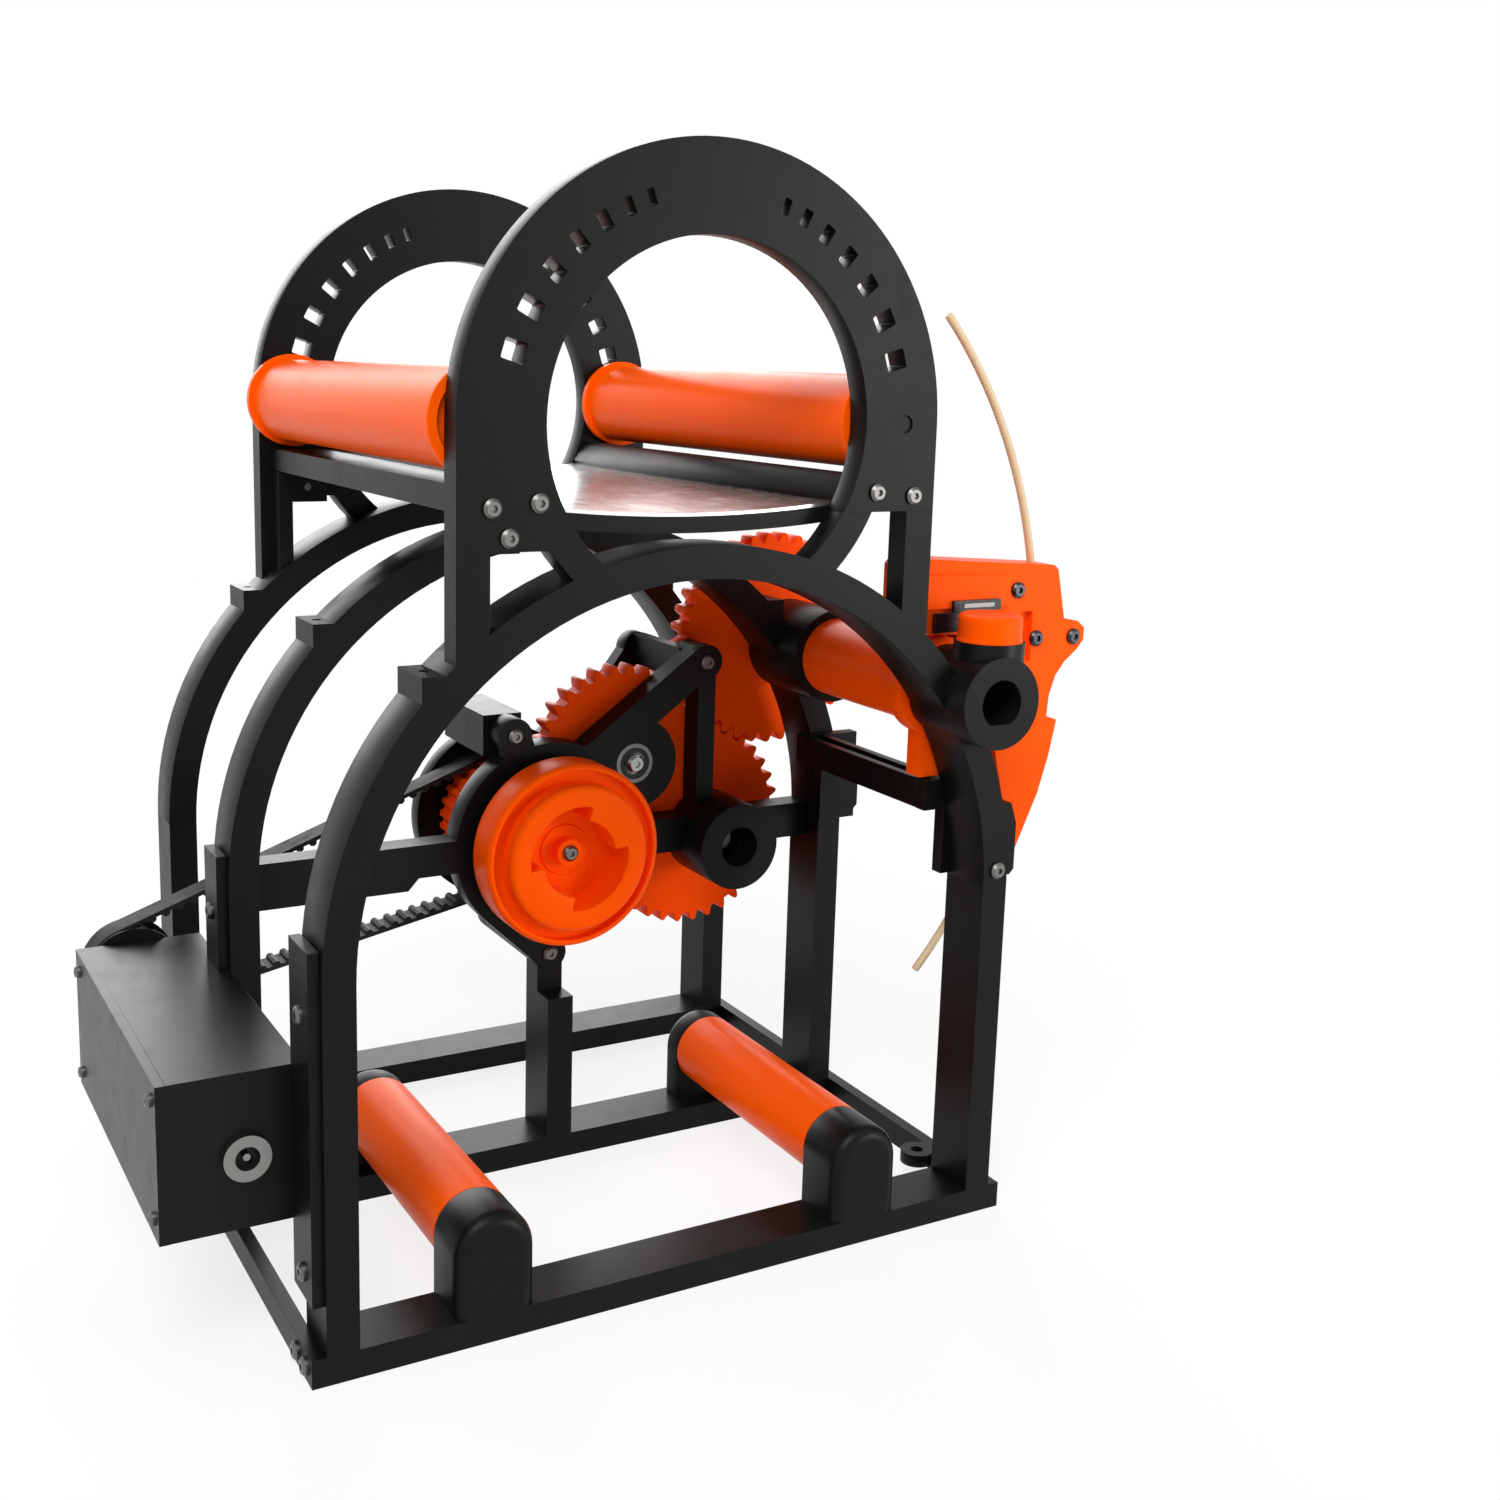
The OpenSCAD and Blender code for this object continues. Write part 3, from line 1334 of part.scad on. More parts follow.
// Belt: one closed loop round both pulleys, teeth on the inside of the straight runs
belt_dir = motor_c - hub_c;
belt_far = norm(belt_dir);
belt_u = belt_dir / belt_far;
belt_v = [-belt_u[1], belt_u[0]];
belt_s = (hub_pulley_r - motor_pulley_r) / belt_far;
belt_c = sqrt(1 - belt_s * belt_s);
belt_pitch = 2 * PI * hub_pulley_r / teeth_hub_pulley;
function belt_n(side) = belt_s * belt_u + side * belt_c * belt_v;
low_dir = atan2(belt_n(1)[1], belt_n(1)[0]);
high_dir = atan2(belt_n(-1)[1], belt_n(-1)[0]);
function wrap(c, r, from, to) = [for (i = [0:44]) c + polar(r, from + (to - from) * i / 44)];
// A straight run with half-round teeth; n points out of the loop and t along the run
function toothed_run(start, n, t, span) =
    let (first = belt_pitch * 2.2, count = floor((span - first * 2) / belt_pitch),
        edge = (span - count * belt_pitch) / 2)
    [for (k = [0:count]) for (i = [0:4]) start
        + t * (edge + k * belt_pitch - belt_pitch * 0.3 * cos(45 * i))
        - n * belt_tooth * sin(45 * i)];
module belt_inside() {
    r1 = hub_pulley_r + belt_gap;
    r2 = motor_pulley_r + belt_gap;
    high = belt_n(-1);
    low = belt_n(1);
    span = belt_far * belt_c;
    high_t = [-high[1], high[0]];
    low_t = [-low[1], low[0]];
    polygon(concat(wrap(hub_c, r1, low_dir, high_dir),
        toothed_run(hub_c + r1 * high, high, high_t, span),
        wrap(motor_c, r2, high_dir, low_dir + 360),
        toothed_run(motor_c + r2 * low, low, low_t, span)));
}
module belt_outside() {
    r1 = hub_pulley_r + belt_gap + belt_t;
    r2 = motor_pulley_r + belt_gap + belt_t;
    polygon(concat(wrap(hub_c, r1, low_dir, high_dir),
        wrap(motor_c, r2, high_dir, low_dir + 360)));
}
module drive_belt() {
    color(black) slab(belt_y, belt_wide) difference() {
        belt_outside();
        belt_inside();
    }
}

// Filament guide
module strand_path(r) {
    c = strand_centre_shares * pace;
    translate([c[0], strand_y, c[1]]) rotate([90, 0, 0]) rotate([0, 0, -strand_half_angle])
        rotate_extrude(angle = strand_half_angle * 2, $fn = fn) translate([strand_curve, 0])
            circle(r = r, $fn = 32);
}
module guide_holes(y0, y1) {
    for (p = guide_screw_shares) rod(p * pace, y0, y1, shank_r + screw_play);
}
module filament_guide() {
    y0 = guide_y + cover_t;
    rail_mid = rail_x + rail_wide / 2;
    tongue = rail_groove / 2 - free_gap;
    color(orange) difference() {
        union() {
            slab(y0, guide_end - y0) outline(guide_shares);
            slab(y0, guide_plate_t) intersection() {
                outline(guide_shares);
                outline(guide_body_shares);
            }
            rod(traverse_c, guide_y, guide_end, guide_collar_r);
            slab(guide_y + free_gap, guide_long - free_gap) outline(foot_shares);
            box(rail_mid - tongue, rail_mid + tongue, panel_t + clip_t + plane_gap, guide_end,
                rail_z + rail_high - rail_groove_deep + free_gap, rail_z + rail_high * 1.3);
        }
        rod(traverse_c, 0, base_depth, tube_r + slide_play);
        strand_path(strand_r + slide_play);
        guide_holes(0, plate_end - plate_gap);
        side_hole(follower_y, traverse_z, traverse_x, traverse_x + guide_collar_r,
            follower_r + screw_play);
    }
}
module guide_cover() {
    color(orange) difference() {
        union() {
            slab(guide_y, cover_t) outline(guide_shares);
            slab(guide_y - pad_t, pad_t) outline(pad_shares);
        }
        rod(traverse_c, 0, base_depth, guide_collar_r + screw_play);
        slab(guide_y - pad_t, pad_t + cover_t * 0.5) outline(recess_shares);
        guide_holes(0, guide_y + cover_t + small);
    }
}
module guide_latch() {
    color(black) slab(guide_y - pad_t - cover_t * 0.3, cover_t * 0.3) outline(latch_shares);
}
module guide_screws() {
    color(steel) for (p = guide_screw_shares) front_screw(p * pace, guide_y, cover_t + guide_plate_t * 0.8);
}
module cam_follower() {
    color(steel) side_hole(follower_y, traverse_z, traverse_x + screw_r + free_gap,
        traverse_x + guide_collar_r - free_gap, follower_r);
}
module filament_strand() {
    color(cream) strand_path(strand_r);
}

// Everything above is drawn from the front face; the origin is the middle of the base
module placed() {
    translate([0, -base_depth / 2, 0]) children();
}
placed() front_arch();
placed() middle_arch();
placed() rear_arch();
placed() left_side_rail();
placed() right_side_rail();
placed() base_screws();
placed() front_ring();
placed() rear_ring();
placed() ring_screws();
placed() left_tray_rail();
placed() right_tray_rail();
placed() tray_sheet();
placed() front_tray_saddle();
placed() rear_tray_saddle();
placed() top_roller_axles();
placed() top_roller_left();
placed() top_roller_right();
placed() bottom_roller_axles();
placed() bottom_roller_left();
placed() bottom_roller_right();
placed() carrier_plate();
placed() rear_gear_plate();
placed() spacer_bars();
placed() gearbox_screws();
placed() hub_bearings();
placed() idler_bearings();
placed() hub_socket();
placed() hub_shaft();
placed() hub_pulley();
placed() hub_screw();
placed() idler_gear();
placed() idler_axle();
placed() transfer_gear();
placed() transfer_axle();
placed() traverse_gear();
placed() traverse_screw();
placed() traverse_bushes();
placed() boss_cap();
placed() guide_tube();
placed() guide_rail();
placed() front_rail_clip();
placed() rear_rail_clip();
placed() rail_clip_screws();
placed() motor_box();
placed() box_lid();
placed() lid_screws();
placed() motor();
placed() motor_shaft();
placed() motor_pulley();
placed() power_inlet();
placed() box_straps();
placed() strap_screws();
placed() drive_belt();
placed() filament_guide();
placed() guide_cover();
placed() guide_latch();
placed() guide_screws();
placed() cam_follower();
placed() filament_strand();
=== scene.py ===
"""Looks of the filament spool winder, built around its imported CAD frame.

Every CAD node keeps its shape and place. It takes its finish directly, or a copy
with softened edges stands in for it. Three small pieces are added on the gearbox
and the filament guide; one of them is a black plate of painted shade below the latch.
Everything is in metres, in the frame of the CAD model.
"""

import json
import logging
import math
from dataclasses import dataclass
from enum import Enum
from typing import Any

import bmesh
import bpy
from mathutils import Matrix, Vector

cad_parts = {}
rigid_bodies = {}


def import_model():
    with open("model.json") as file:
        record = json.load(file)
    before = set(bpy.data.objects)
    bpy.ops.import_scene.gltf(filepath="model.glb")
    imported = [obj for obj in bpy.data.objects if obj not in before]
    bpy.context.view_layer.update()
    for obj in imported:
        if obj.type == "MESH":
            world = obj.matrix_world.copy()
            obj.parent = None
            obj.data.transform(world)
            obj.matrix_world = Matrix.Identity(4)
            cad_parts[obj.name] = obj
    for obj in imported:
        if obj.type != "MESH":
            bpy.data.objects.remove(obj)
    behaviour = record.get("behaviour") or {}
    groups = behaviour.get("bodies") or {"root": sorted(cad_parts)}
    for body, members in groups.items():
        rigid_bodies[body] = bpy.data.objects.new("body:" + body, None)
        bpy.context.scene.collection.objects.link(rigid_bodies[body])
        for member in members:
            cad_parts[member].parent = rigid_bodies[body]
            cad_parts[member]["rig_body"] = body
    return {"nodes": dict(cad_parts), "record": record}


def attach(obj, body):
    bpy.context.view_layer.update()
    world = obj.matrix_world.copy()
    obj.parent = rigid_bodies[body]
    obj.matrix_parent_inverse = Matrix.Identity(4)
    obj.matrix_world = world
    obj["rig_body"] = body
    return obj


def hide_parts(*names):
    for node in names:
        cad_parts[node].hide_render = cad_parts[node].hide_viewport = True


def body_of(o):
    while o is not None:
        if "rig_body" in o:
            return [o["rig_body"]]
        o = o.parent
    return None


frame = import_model()

MM = 0.001
PHOTO_SIDE = 1500
HALF_DEPTH = 104.75 * MM

# How a softened copy is made from a node's mesh.
WELD_GAP = 2e-6
FLAT_ANGLE = math.radians(0.4)
BEND_ANGLE = math.radians(0.6)
EDGE_ANGLE = math.radians(30.0)
SHADE_ANGLE = math.radians(38.0)
CURVED_SHARE = 0.2
BEVEL_STEPS = 2
BEVEL_PROFILE = 0.5

# The pieces that only the scene has.
RING_STEPS = 64
PLATE_BEVEL = 0.12 * MM

# Grey ramps as (position, value) pairs.
FLECK_STOPS = ((0.56, 0.0), (0.72, 1.0))
SCUFF_STOPS = ((0.52, 0.0), (0.8, 1.0))
DUST_STOPS = ((0.45, 0.0), (0.75, 1.0))

# How much each pattern adds to wear or shine, to roughness and to relief. The
# shifts keep the mean roughness near the one that a finish states.
MOTTLE_WEAR, FLECK_WEAR, SCUFF_WEAR = 0.5, 0.15, 0.25
MOTTLE_ROUGH, SCUFF_ROUGH, PLASTIC_SHIFT = 0.1, 0.05, 0.07
FLECK_RELIEF = 0.3
LINE_SHINE, CLOUD_SHINE = 0.6, 0.4
LINE_ROUGH, CLOUD_ROUGH, METAL_SHIFT = 0.16, 0.1, 0.13
DUST_COVER, DUST_ROUGH = 0.6, 0.15
DRAWN_ROUGH = 0.1

Colour = tuple[float, float, float]
Stops = tuple[tuple[float, float], ...]

log = logging.getLogger("winder")


class Grain(Enum):
    """Coordinate scales that draw a metal's grain out, or leave it even."""

    ALONG_Y = (1.0, 0.012, 1.0)
    NONE = (1.0, 1.0, 1.0)


class Signal:
    """A shader socket that takes part in plain arithmetic."""

    def __init__(self, graph: "Graph", socket: bpy.types.NodeSocket) -> None:
        """Keep the graph and the socket.

        Args:
            graph: The node graph that owns the socket.
            socket: The output socket.
        """
        self.graph = graph
        self.socket = socket

    def _math(self, operation: str, first: Any, second: Any) -> "Signal":
        """Add one Math node on two values and return its output."""
        return self.graph.add(
            "ShaderNodeMath", {"operation": operation}, {0: first, 1: second}
        )

    def __add__(self, other: Any) -> "Signal":
        """Return self + other."""
        return self._math("ADD", self, other)

    def __radd__(self, other: Any) -> "Signal":
        """Return other + self."""
        return self._math("ADD", other, self)

    def __sub__(self, other: Any) -> "Signal":
        """Return self - other."""
        return self._math("SUBTRACT", self, other)

    def __rsub__(self, other: Any) -> "Signal":
        """Return other - self."""
        return self._math("SUBTRACT", other, self)

    def __mul__(self, other: Any) -> "Signal":
        """Return self * other."""
        return self._math("MULTIPLY", self, other)

    def __rmul__(self, other: Any) -> "Signal":
        """Return other * self."""
        return self._math("MULTIPLY", other, self)

    def __truediv__(self, other: Any) -> "Signal":
        """Return self / other."""
        return self._math("DIVIDE", self, other)

    def highest(self, other: Any) -> "Signal":
        """Return the larger of self and other."""
        return self._math("MAXIMUM", self, other)

    def clamped(self) -> "Signal":
        """Return self held between 0 and 1."""
        return self.graph.add("ShaderNodeClamp", {}, {"Value": self})


class Graph:
    """The node tree of one material or world, and the methods that fill it."""

    def __init__(self, owner: bpy.types.Material | bpy.types.World) -> None:
        """Empty the owner's node tree.

        Args:
            owner: The material or the world that owns the tree.
        """
        owner.use_nodes = True
        self.tree = owner.node_tree
        self.tree.nodes.clear()

    def coords(self) -> "Signal":
        """Return the object's own coordinates."""
        return self.add("ShaderNodeTexCoord", {}, {}, out="Object")

    def ray(self, kind: str) -> "Signal":
        """Return 1 for rays of one kind, such as "Is Camera Ray", and else 0."""
        return self.add("ShaderNodeLightPath", {}, {}, out=kind)

    def feed(self, node: bpy.types.Node, key: Any, value: Any) -> None:
        """Put a value or a link into one input of a node.

        Args:
            node: The node to feed.
            key: The input's name or number.
            value: A Signal or a plain value.
        """
        target = node.inputs[key]
        if isinstance(value, Signal):
            self.tree.links.new(value.socket, target)
        else:
            target.default_value = value

    def add(
        self, kind: str, settings: dict[str, Any], inputs: dict[Any, Any], out: Any = 0
    ) -> Signal | None:
        """Add a node, set it up and return one of its outputs.

        Args:
            kind: The node's Blender type.
            settings: Properties set before the inputs; "stops" sets a ramp.
            inputs: Values or links by input name or number.
            out: The output to return.

        Returns:
            The output as a Signal, or None for a node that has no outputs.
        """
        node = self.tree.nodes.new(kind)
        for key, value in settings.items():
            if key == "stops":
                self._set_stops(node, value)
            else:
                setattr(node, key, value)
        for key, value in inputs.items():
            self.feed(node, key, value)
        return Signal(self, node.outputs[out]) if node.outputs else None

    @staticmethod
    def _set_stops(node: bpy.types.Node, stops: Stops) -> None:
        """Give a ramp its grey stops as (position, value) pairs."""
        ramp = node.color_ramp
        while len(ramp.elements) > len(stops):
            ramp.elements.remove(ramp.elements[-1])
        while len(ramp.elements) < len(stops):
            ramp.elements.new(0.5)
        for element, (place, grey) in zip(ramp.elements, stops):
            element.position = place
            element.color = (grey, grey, grey, 1.0)

    def noise(
        self, size: float, detail: float = 2.0, stretch: Colour = (1.0, 1.0, 1.0)
    ) -> Signal:
        """Return noise with features of about the given size.

        Args:
            size: Feature size in metres.
            detail: Number of finer layers.
            stretch: Scale of the coordinates along each axis.

        Returns:
            The noise, from 0 to 1.
        """
        place = self.add(
            "ShaderNodeMapping", {}, {"Vector": self.coords(), "Scale": stretch}
        )
        return self.add(
            "ShaderNodeTexNoise",
            {"noise_dimensions": "3D"},
            {"Vector": place, "Scale": 1.0 / size, "Detail": detail, "Roughness": 0.55},
        )

    def steps(self, value: Signal, stops: Stops) -> Signal:
        """Return a value passed through a grey ramp."""
        return self.add("ShaderNodeValToRGB", {"stops": stops}, {"Fac": value})

    def blend(self, mask: Signal, first: Colour, second: Colour) -> Signal:
        """Return a colour between two colours, chosen by a mask."""
        return self.add(
            "ShaderNodeMix",
            {"data_type": "RGBA"},
            {0: mask, 6: as_rgba(first), 7: as_rgba(second)},
            out=2,
        )

    def bump(self, height: Signal, strength: float, depth: float) -> Signal:
        """Return a normal raised by a height.

        Args:
            height: The height, from 0 to 1.
            strength: How much of it shows.
            depth: The depth in metres at full height.

        Returns:
            The bent normal.
        """
        return self.add(
            "ShaderNodeBump",
            {},
            {"Strength": strength, "Distance": depth, "Height": height},
        )



def as_rgba(colour: Colour) -> tuple[float, float, float, float]:
    """Return a colour with an alpha of 1."""
    return (*colour, 1.0)


@dataclass(frozen=True)
class Finish:
    """A material that is named after its slot in the record."""

    name: str

    def build(self) -> bpy.types.Material:
        """Return the material, closed with one Principled shader."""
        material = bpy.data.materials.new(self.name)
        graph = Graph(material)
        shader = graph.add("ShaderNodeBsdfPrincipled", {}, self.inputs(graph))
        graph.add("ShaderNodeOutputMaterial", {}, {"Surface": shader})
        return material

    def inputs(self, graph: Graph) -> dict[str, Any]:
        """Return the shader's values and links; each kind of finish has its own."""
        raise NotImplementedError


@dataclass(frozen=True)
class Plastic(Finish):
    """Moulded or machined plastic with soft mottling and a fine grain."""

    colour: Colour
    worn: Colour
    rough: float
    grain_size: float = 0.35 * MM
    grain_depth: float = 0.02 * MM
    grain_strength: float = 0.5
    mottle_size: float = 28 * MM
    gloss: float = 0.5
    sheen_tint: Colour = (1.0, 1.0, 1.0)
    grain_stretch: Colour = (1.0, 1.0, 1.0)

    def inputs(self, graph: Graph) -> dict[str, Any]:
        """Return the shader's values and links."""
        fleck_size, scuff_size = self.grain_size * 3, self.mottle_size / 4
        mottle = graph.noise(self.mottle_size, detail=4.0)
        fleck = graph.steps(graph.noise(fleck_size, detail=3.0), FLECK_STOPS)
        scuff = graph.steps(graph.noise(scuff_size, detail=6.0), SCUFF_STOPS)
        grain = graph.noise(self.grain_size, stretch=self.grain_stretch)
        wear = mottle * MOTTLE_WEAR + fleck * FLECK_WEAR + scuff * SCUFF_WEAR
        spread = mottle * MOTTLE_ROUGH + scuff * SCUFF_ROUGH
        relief = grain + fleck * FLECK_RELIEF
        return {
            "Base Color": graph.blend(wear.clamped(), self.colour, self.worn),
            "Roughness": (spread + (self.rough - PLASTIC_SHIFT)).clamped(),
            "Specular IOR Level": self.gloss,
            "Specular Tint": as_rgba(self.sheen_tint),
            "Normal": graph.bump(relief, self.grain_strength, self.grain_depth),
        }


@dataclass(frozen=True)
class Metal(Finish):
    """Bare metal, brushed or plain."""

    colour: Colour
    dark: Colour
    rough: float
    grain: Grain = Grain.NONE
    streak: float = 0.25 * MM
    depth: float = 0.01 * MM
    cloud_size: float = 14 * MM
    line_strength: float = 0.35

    def inputs(self, graph: Graph) -> dict[str, Any]:
        """Return the shader's values and links."""
        lines = graph.noise(self.streak, detail=3.0, stretch=self.grain.value)
        cloud = graph.noise(self.cloud_size, detail=3.0)
        shine = lines * LINE_SHINE + cloud * CLOUD_SHINE
        spread = lines * LINE_ROUGH + cloud * CLOUD_ROUGH
        return {
            "Base Color": graph.blend(shine.clamped(), self.dark, self.colour),
            "Metallic": 1.0,
            "Roughness": (spread + (self.rough - METAL_SHIFT)).clamped(),
            "Normal": graph.bump(lines, self.line_strength, self.depth),
        }


@dataclass(frozen=True)
class Rubber(Finish):
    """Matt black belt rubber with a woven face and fine dust."""

    colour: Colour
    dust: Colour
    rough: float = 0.62
    gloss: float = 0.3
    dust_size: float = 6 * MM
    weave_size: float = 0.5 * MM
    weave_stretch: Colour = (1.0, 0.25, 1.0)
    weave_strength: float = 0.6
    weave_depth: float = 0.04 * MM

    def inputs(self, graph: Graph) -> dict[str, Any]:
        """Return the shader's values and links."""
        weave = graph.noise(self.weave_size, stretch=self.weave_stretch)
        dusting = graph.steps(graph.noise(self.dust_size, detail=5.0), DUST_STOPS)
        return {
            "Base Color": graph.blend(dusting * DUST_COVER, self.colour, self.dust),
            "Roughness": (dusting * DUST_ROUGH + self.rough).clamped(),
            "Specular IOR Level": self.gloss,
            "Normal": graph.bump(weave, self.weave_strength, self.weave_depth),
        }


@dataclass(frozen=True)
class Strand(Finish):
    """Pale drawn filament."""

    colour: Colour
    deep: Colour
    rough: float = 0.33
    gloss: float = 0.25
    drift_size: float = 9 * MM
    draw_size: float = 6 * MM
    draw_strength: float = 0.1
    draw_depth: float = 0.02 * MM

    def inputs(self, graph: Graph) -> dict[str, Any]:
        """Return the shader's values and links."""
        drift = graph.noise(self.drift_size, detail=3.0)
        drawn = graph.noise(self.draw_size, detail=1.0)
        return {
            "Base Color": graph.blend(drift, self.deep, self.colour),
            "Roughness": (drawn * DRAWN_ROUGH + self.rough).clamped(),
            "Specular IOR Level": self.gloss,
            "Normal": graph.bump(drawn, self.draw_strength, self.draw_depth),
        }


WARM_SHEEN = (1.0, 0.42, 0.12)
FRAME_BLACK = Plastic(
    "frame_black", (0.003, 0.003, 0.0031), (0.0066, 0.0066, 0.0068), 0.4, gloss=0.115,
    grain_stretch=(1.0, 1.0, 0.12),
)
BOX_BLACK = Plastic(
    "box_black", (0.004, 0.004, 0.0042), (0.008, 0.008, 0.0082), 0.36,
    grain_size=0.5 * MM, grain_depth=0.006 * MM, gloss=0.13,
)
CARRIER_BLACK = Plastic(
    "carrier_black", (0.0035, 0.0033, 0.0033), (0.007, 0.0068, 0.0068), 0.4, gloss=0.12
)
ORANGE_SHELL = Plastic(
    "orange_shell", (0.96, 0.078, 0.0004), (1.0, 0.098, 0.0006), 0.4,
    grain_depth=0.004 * MM, grain_strength=0.2, gloss=0.12, sheen_tint=WARM_SHEEN,
)
ORANGE_GEAR = Plastic(
    "orange_gear", (0.95, 0.064, 0.0004), (1.0, 0.082, 0.0006), 0.42,
    grain_depth=0.004 * MM, grain_strength=0.2, gloss=0.1, sheen_tint=WARM_SHEEN,
)
ORANGE_ROLLER = Plastic(
    "orange_roller", (0.97, 0.095, 0.0004), (1.0, 0.118, 0.0006), 0.36,
    grain_depth=0.002 * MM, grain_strength=0.1, gloss=0.08, sheen_tint=WARM_SHEEN,
)
PULLEY_BLACK = Plastic(
    "pulley_black", (0.005, 0.005, 0.005), (0.01, 0.01, 0.01), 0.46, gloss=0.16
)
LATCH_BLACK = Plastic(
    "latch_black", (0.004, 0.004, 0.005), (0.009, 0.009, 0.01), 0.3, gloss=0.3
)
SCREW_STEEL = Metal("screw_steel", (0.2, 0.194, 0.185), (0.11, 0.107, 0.103), 0.38)
SCREW_DARK = Metal("screw_dark", (0.07, 0.07, 0.08), (0.035, 0.035, 0.04), 0.3)
BEARING_STEEL = Metal("bearing_steel", (0.2, 0.188, 0.18), (0.11, 0.104, 0.1), 0.3)
SHAFT_STEEL = Metal(
    "shaft_steel", (0.42, 0.42, 0.42), (0.28, 0.28, 0.28), 0.3, Grain.ALONG_Y
)
MOTOR_METAL = Metal("motor_metal", (0.4, 0.4, 0.41), (0.27, 0.27, 0.28), 0.38)
INLET_METAL = Metal("inlet_metal", (0.3, 0.297, 0.285), (0.19, 0.188, 0.182), 0.3)
TRAY_METAL = Metal(
    "tray_metal", (0.76, 0.75, 0.74), (0.56, 0.555, 0.55), 0.25, Grain.ALONG_Y,
    streak=0.5 * MM, depth=0.02 * MM,
)
BELT_RUBBER = Rubber("belt_rubber", (0.006, 0.006, 0.006), (0.016, 0.016, 0.016))
STRAND_PLASTIC = Strand("strand_plastic", (0.66, 0.5, 0.31), (0.6, 0.445, 0.265))
FINISHES = (
    FRAME_BLACK, BOX_BLACK, CARRIER_BLACK, ORANGE_SHELL, ORANGE_GEAR, ORANGE_ROLLER,
    PULLEY_BLACK, LATCH_BLACK, SCREW_STEEL, SCREW_DARK, BEARING_STEEL, SHAFT_STEEL,
    MOTOR_METAL, INLET_METAL, TRAY_METAL, BELT_RUBBER, STRAND_PLASTIC,
)


def fold_of(edge: bmesh.types.BMEdge) -> float:
    """Return the angle between an edge's two faces, or 0 if it doesn't have two."""
    return edge.calc_face_angle(0.0) if len(edge.link_faces) == 2 else 0.0


def round_edges(
    work: bmesh.types.BMesh, edges: list[bmesh.types.BMEdge], width: float
) -> list[bmesh.types.BMFace]:
    """Round some edges of a mesh.

    Args:
        work: The mesh.
        edges: The edges to round.
        width: Width of the rounding in metres.

    Returns:
        The faces of the rounding.
    """
    return bmesh.ops.bevel(
        work, geom=edges, offset=width, segments=BEVEL_STEPS, profile=BEVEL_PROFILE,
        affect="EDGES", clamp_overlap=True,
    )["faces"]


class Workshop:
    """Builds the finishes once and puts them on nodes and new pieces."""

    def __init__(self) -> None:
        """Build every finish."""
        self.materials = {finish.name: finish.build() for finish in FINISHES}
        self.slots = {
            row["node"]: row["material_slot"] for row in frame["record"]["subparts"]
        }

    def paint(self, piece: bpy.types.Object, slot: str) -> None:
        """Put one finish on a mesh.

        Args:
            piece: The object to paint.
            slot: The record's material slot.
        """
        piece.data.materials.clear()
        piece.data.materials.append(self.materials[slot])

    def dress_node(self, node: str) -> bpy.types.Object:
        """Give a CAD node its own slot's finish and return its object."""
        piece = frame["nodes"][node]
        finish = self.materials[self.slots[node]]
        if not piece.material_slots:
            piece.data.materials.append(finish)
        for slot in piece.material_slots:
            slot.material = finish
        return piece

    def soften_node(self, node: str, width: float) -> bpy.types.Object:
        """Stand a copy with rounded edges in for a CAD node.

        Args:
            node: The CAD node's name.
            width: Width of the rounding in metres.

        Returns:
            The new piece, riding on the node's body.
        """
        source = frame["nodes"][node]
        mesh = source.data.copy()
        work = bmesh.new()
        work.from_mesh(mesh)
        bmesh.ops.remove_doubles(work, verts=work.verts, dist=WELD_GAP)
        bmesh.ops.dissolve_limit(
            work, angle_limit=FLAT_ANGLE, verts=work.verts, edges=work.edges
        )
        # Until the end, a material index of 1 marks the faces to be shaded flat.
        for face in work.faces:
            bent = sum(
                edge.calc_length() for edge in face.edges
                if BEND_ANGLE < fold_of(edge) < EDGE_ANGLE
            )
            curved = bent > CURVED_SHARE * face.calc_perimeter()
            face.material_index = 0 if curved else 1
        edges = [edge for edge in work.edges if fold_of(edge) > EDGE_ANGLE]
        rounded = round_edges(work, edges, width)
        for face in rounded:
            face.material_index = 0
        bmesh.ops.triangulate(work, faces=[f for f in work.faces if len(f.verts) > 4])
        for face in work.faces:
            face.smooth = face.material_index == 0
            face.material_index = 0
        for edge in work.edges:
            edge.smooth = fold_of(edge) <= SHADE_ANGLE
        work.to_mesh(mesh)
        work.free()
        piece = bpy.data.objects.new(f"{node}_softened", mesh)
        bpy.context.scene.collection.objects.link(piece)
        self.paint(piece, self.slots[node])
        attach(piece, body_of(source)[0])
        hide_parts(node)
        return piece

    def new_piece(
        self, name: str, work: bmesh.types.BMesh, slot: str, body: str
    ) -> bpy.types.Object:
        """Turn a bmesh into a painted piece riding on a body.

        Args:
            name: The piece's name.
            work: The mesh, freed here.
            slot: The material slot.
            body: The CAD body that it rides on.

        Returns:
            The new object.
        """
        mesh = bpy.data.meshes.new(name)
        work.to_mesh(mesh)
        work.free()
        piece = bpy.data.objects.new(name, mesh)
        bpy.context.scene.collection.objects.link(piece)
        self.paint(piece, slot)
        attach(piece, body)
        return piece


def box_of(node: str) -> tuple[Vector, Vector]:
    """Return the low and high corners of one CAD node."""
    source = frame["nodes"][node]
    points = [source.matrix_world @ vertex.co for vertex in source.data.vertices]
    low = Vector([min(point[axis] for point in points) for axis in range(3)])
    high = Vector([max(point[axis] for point in points) for axis in range(3)])
    return low, high


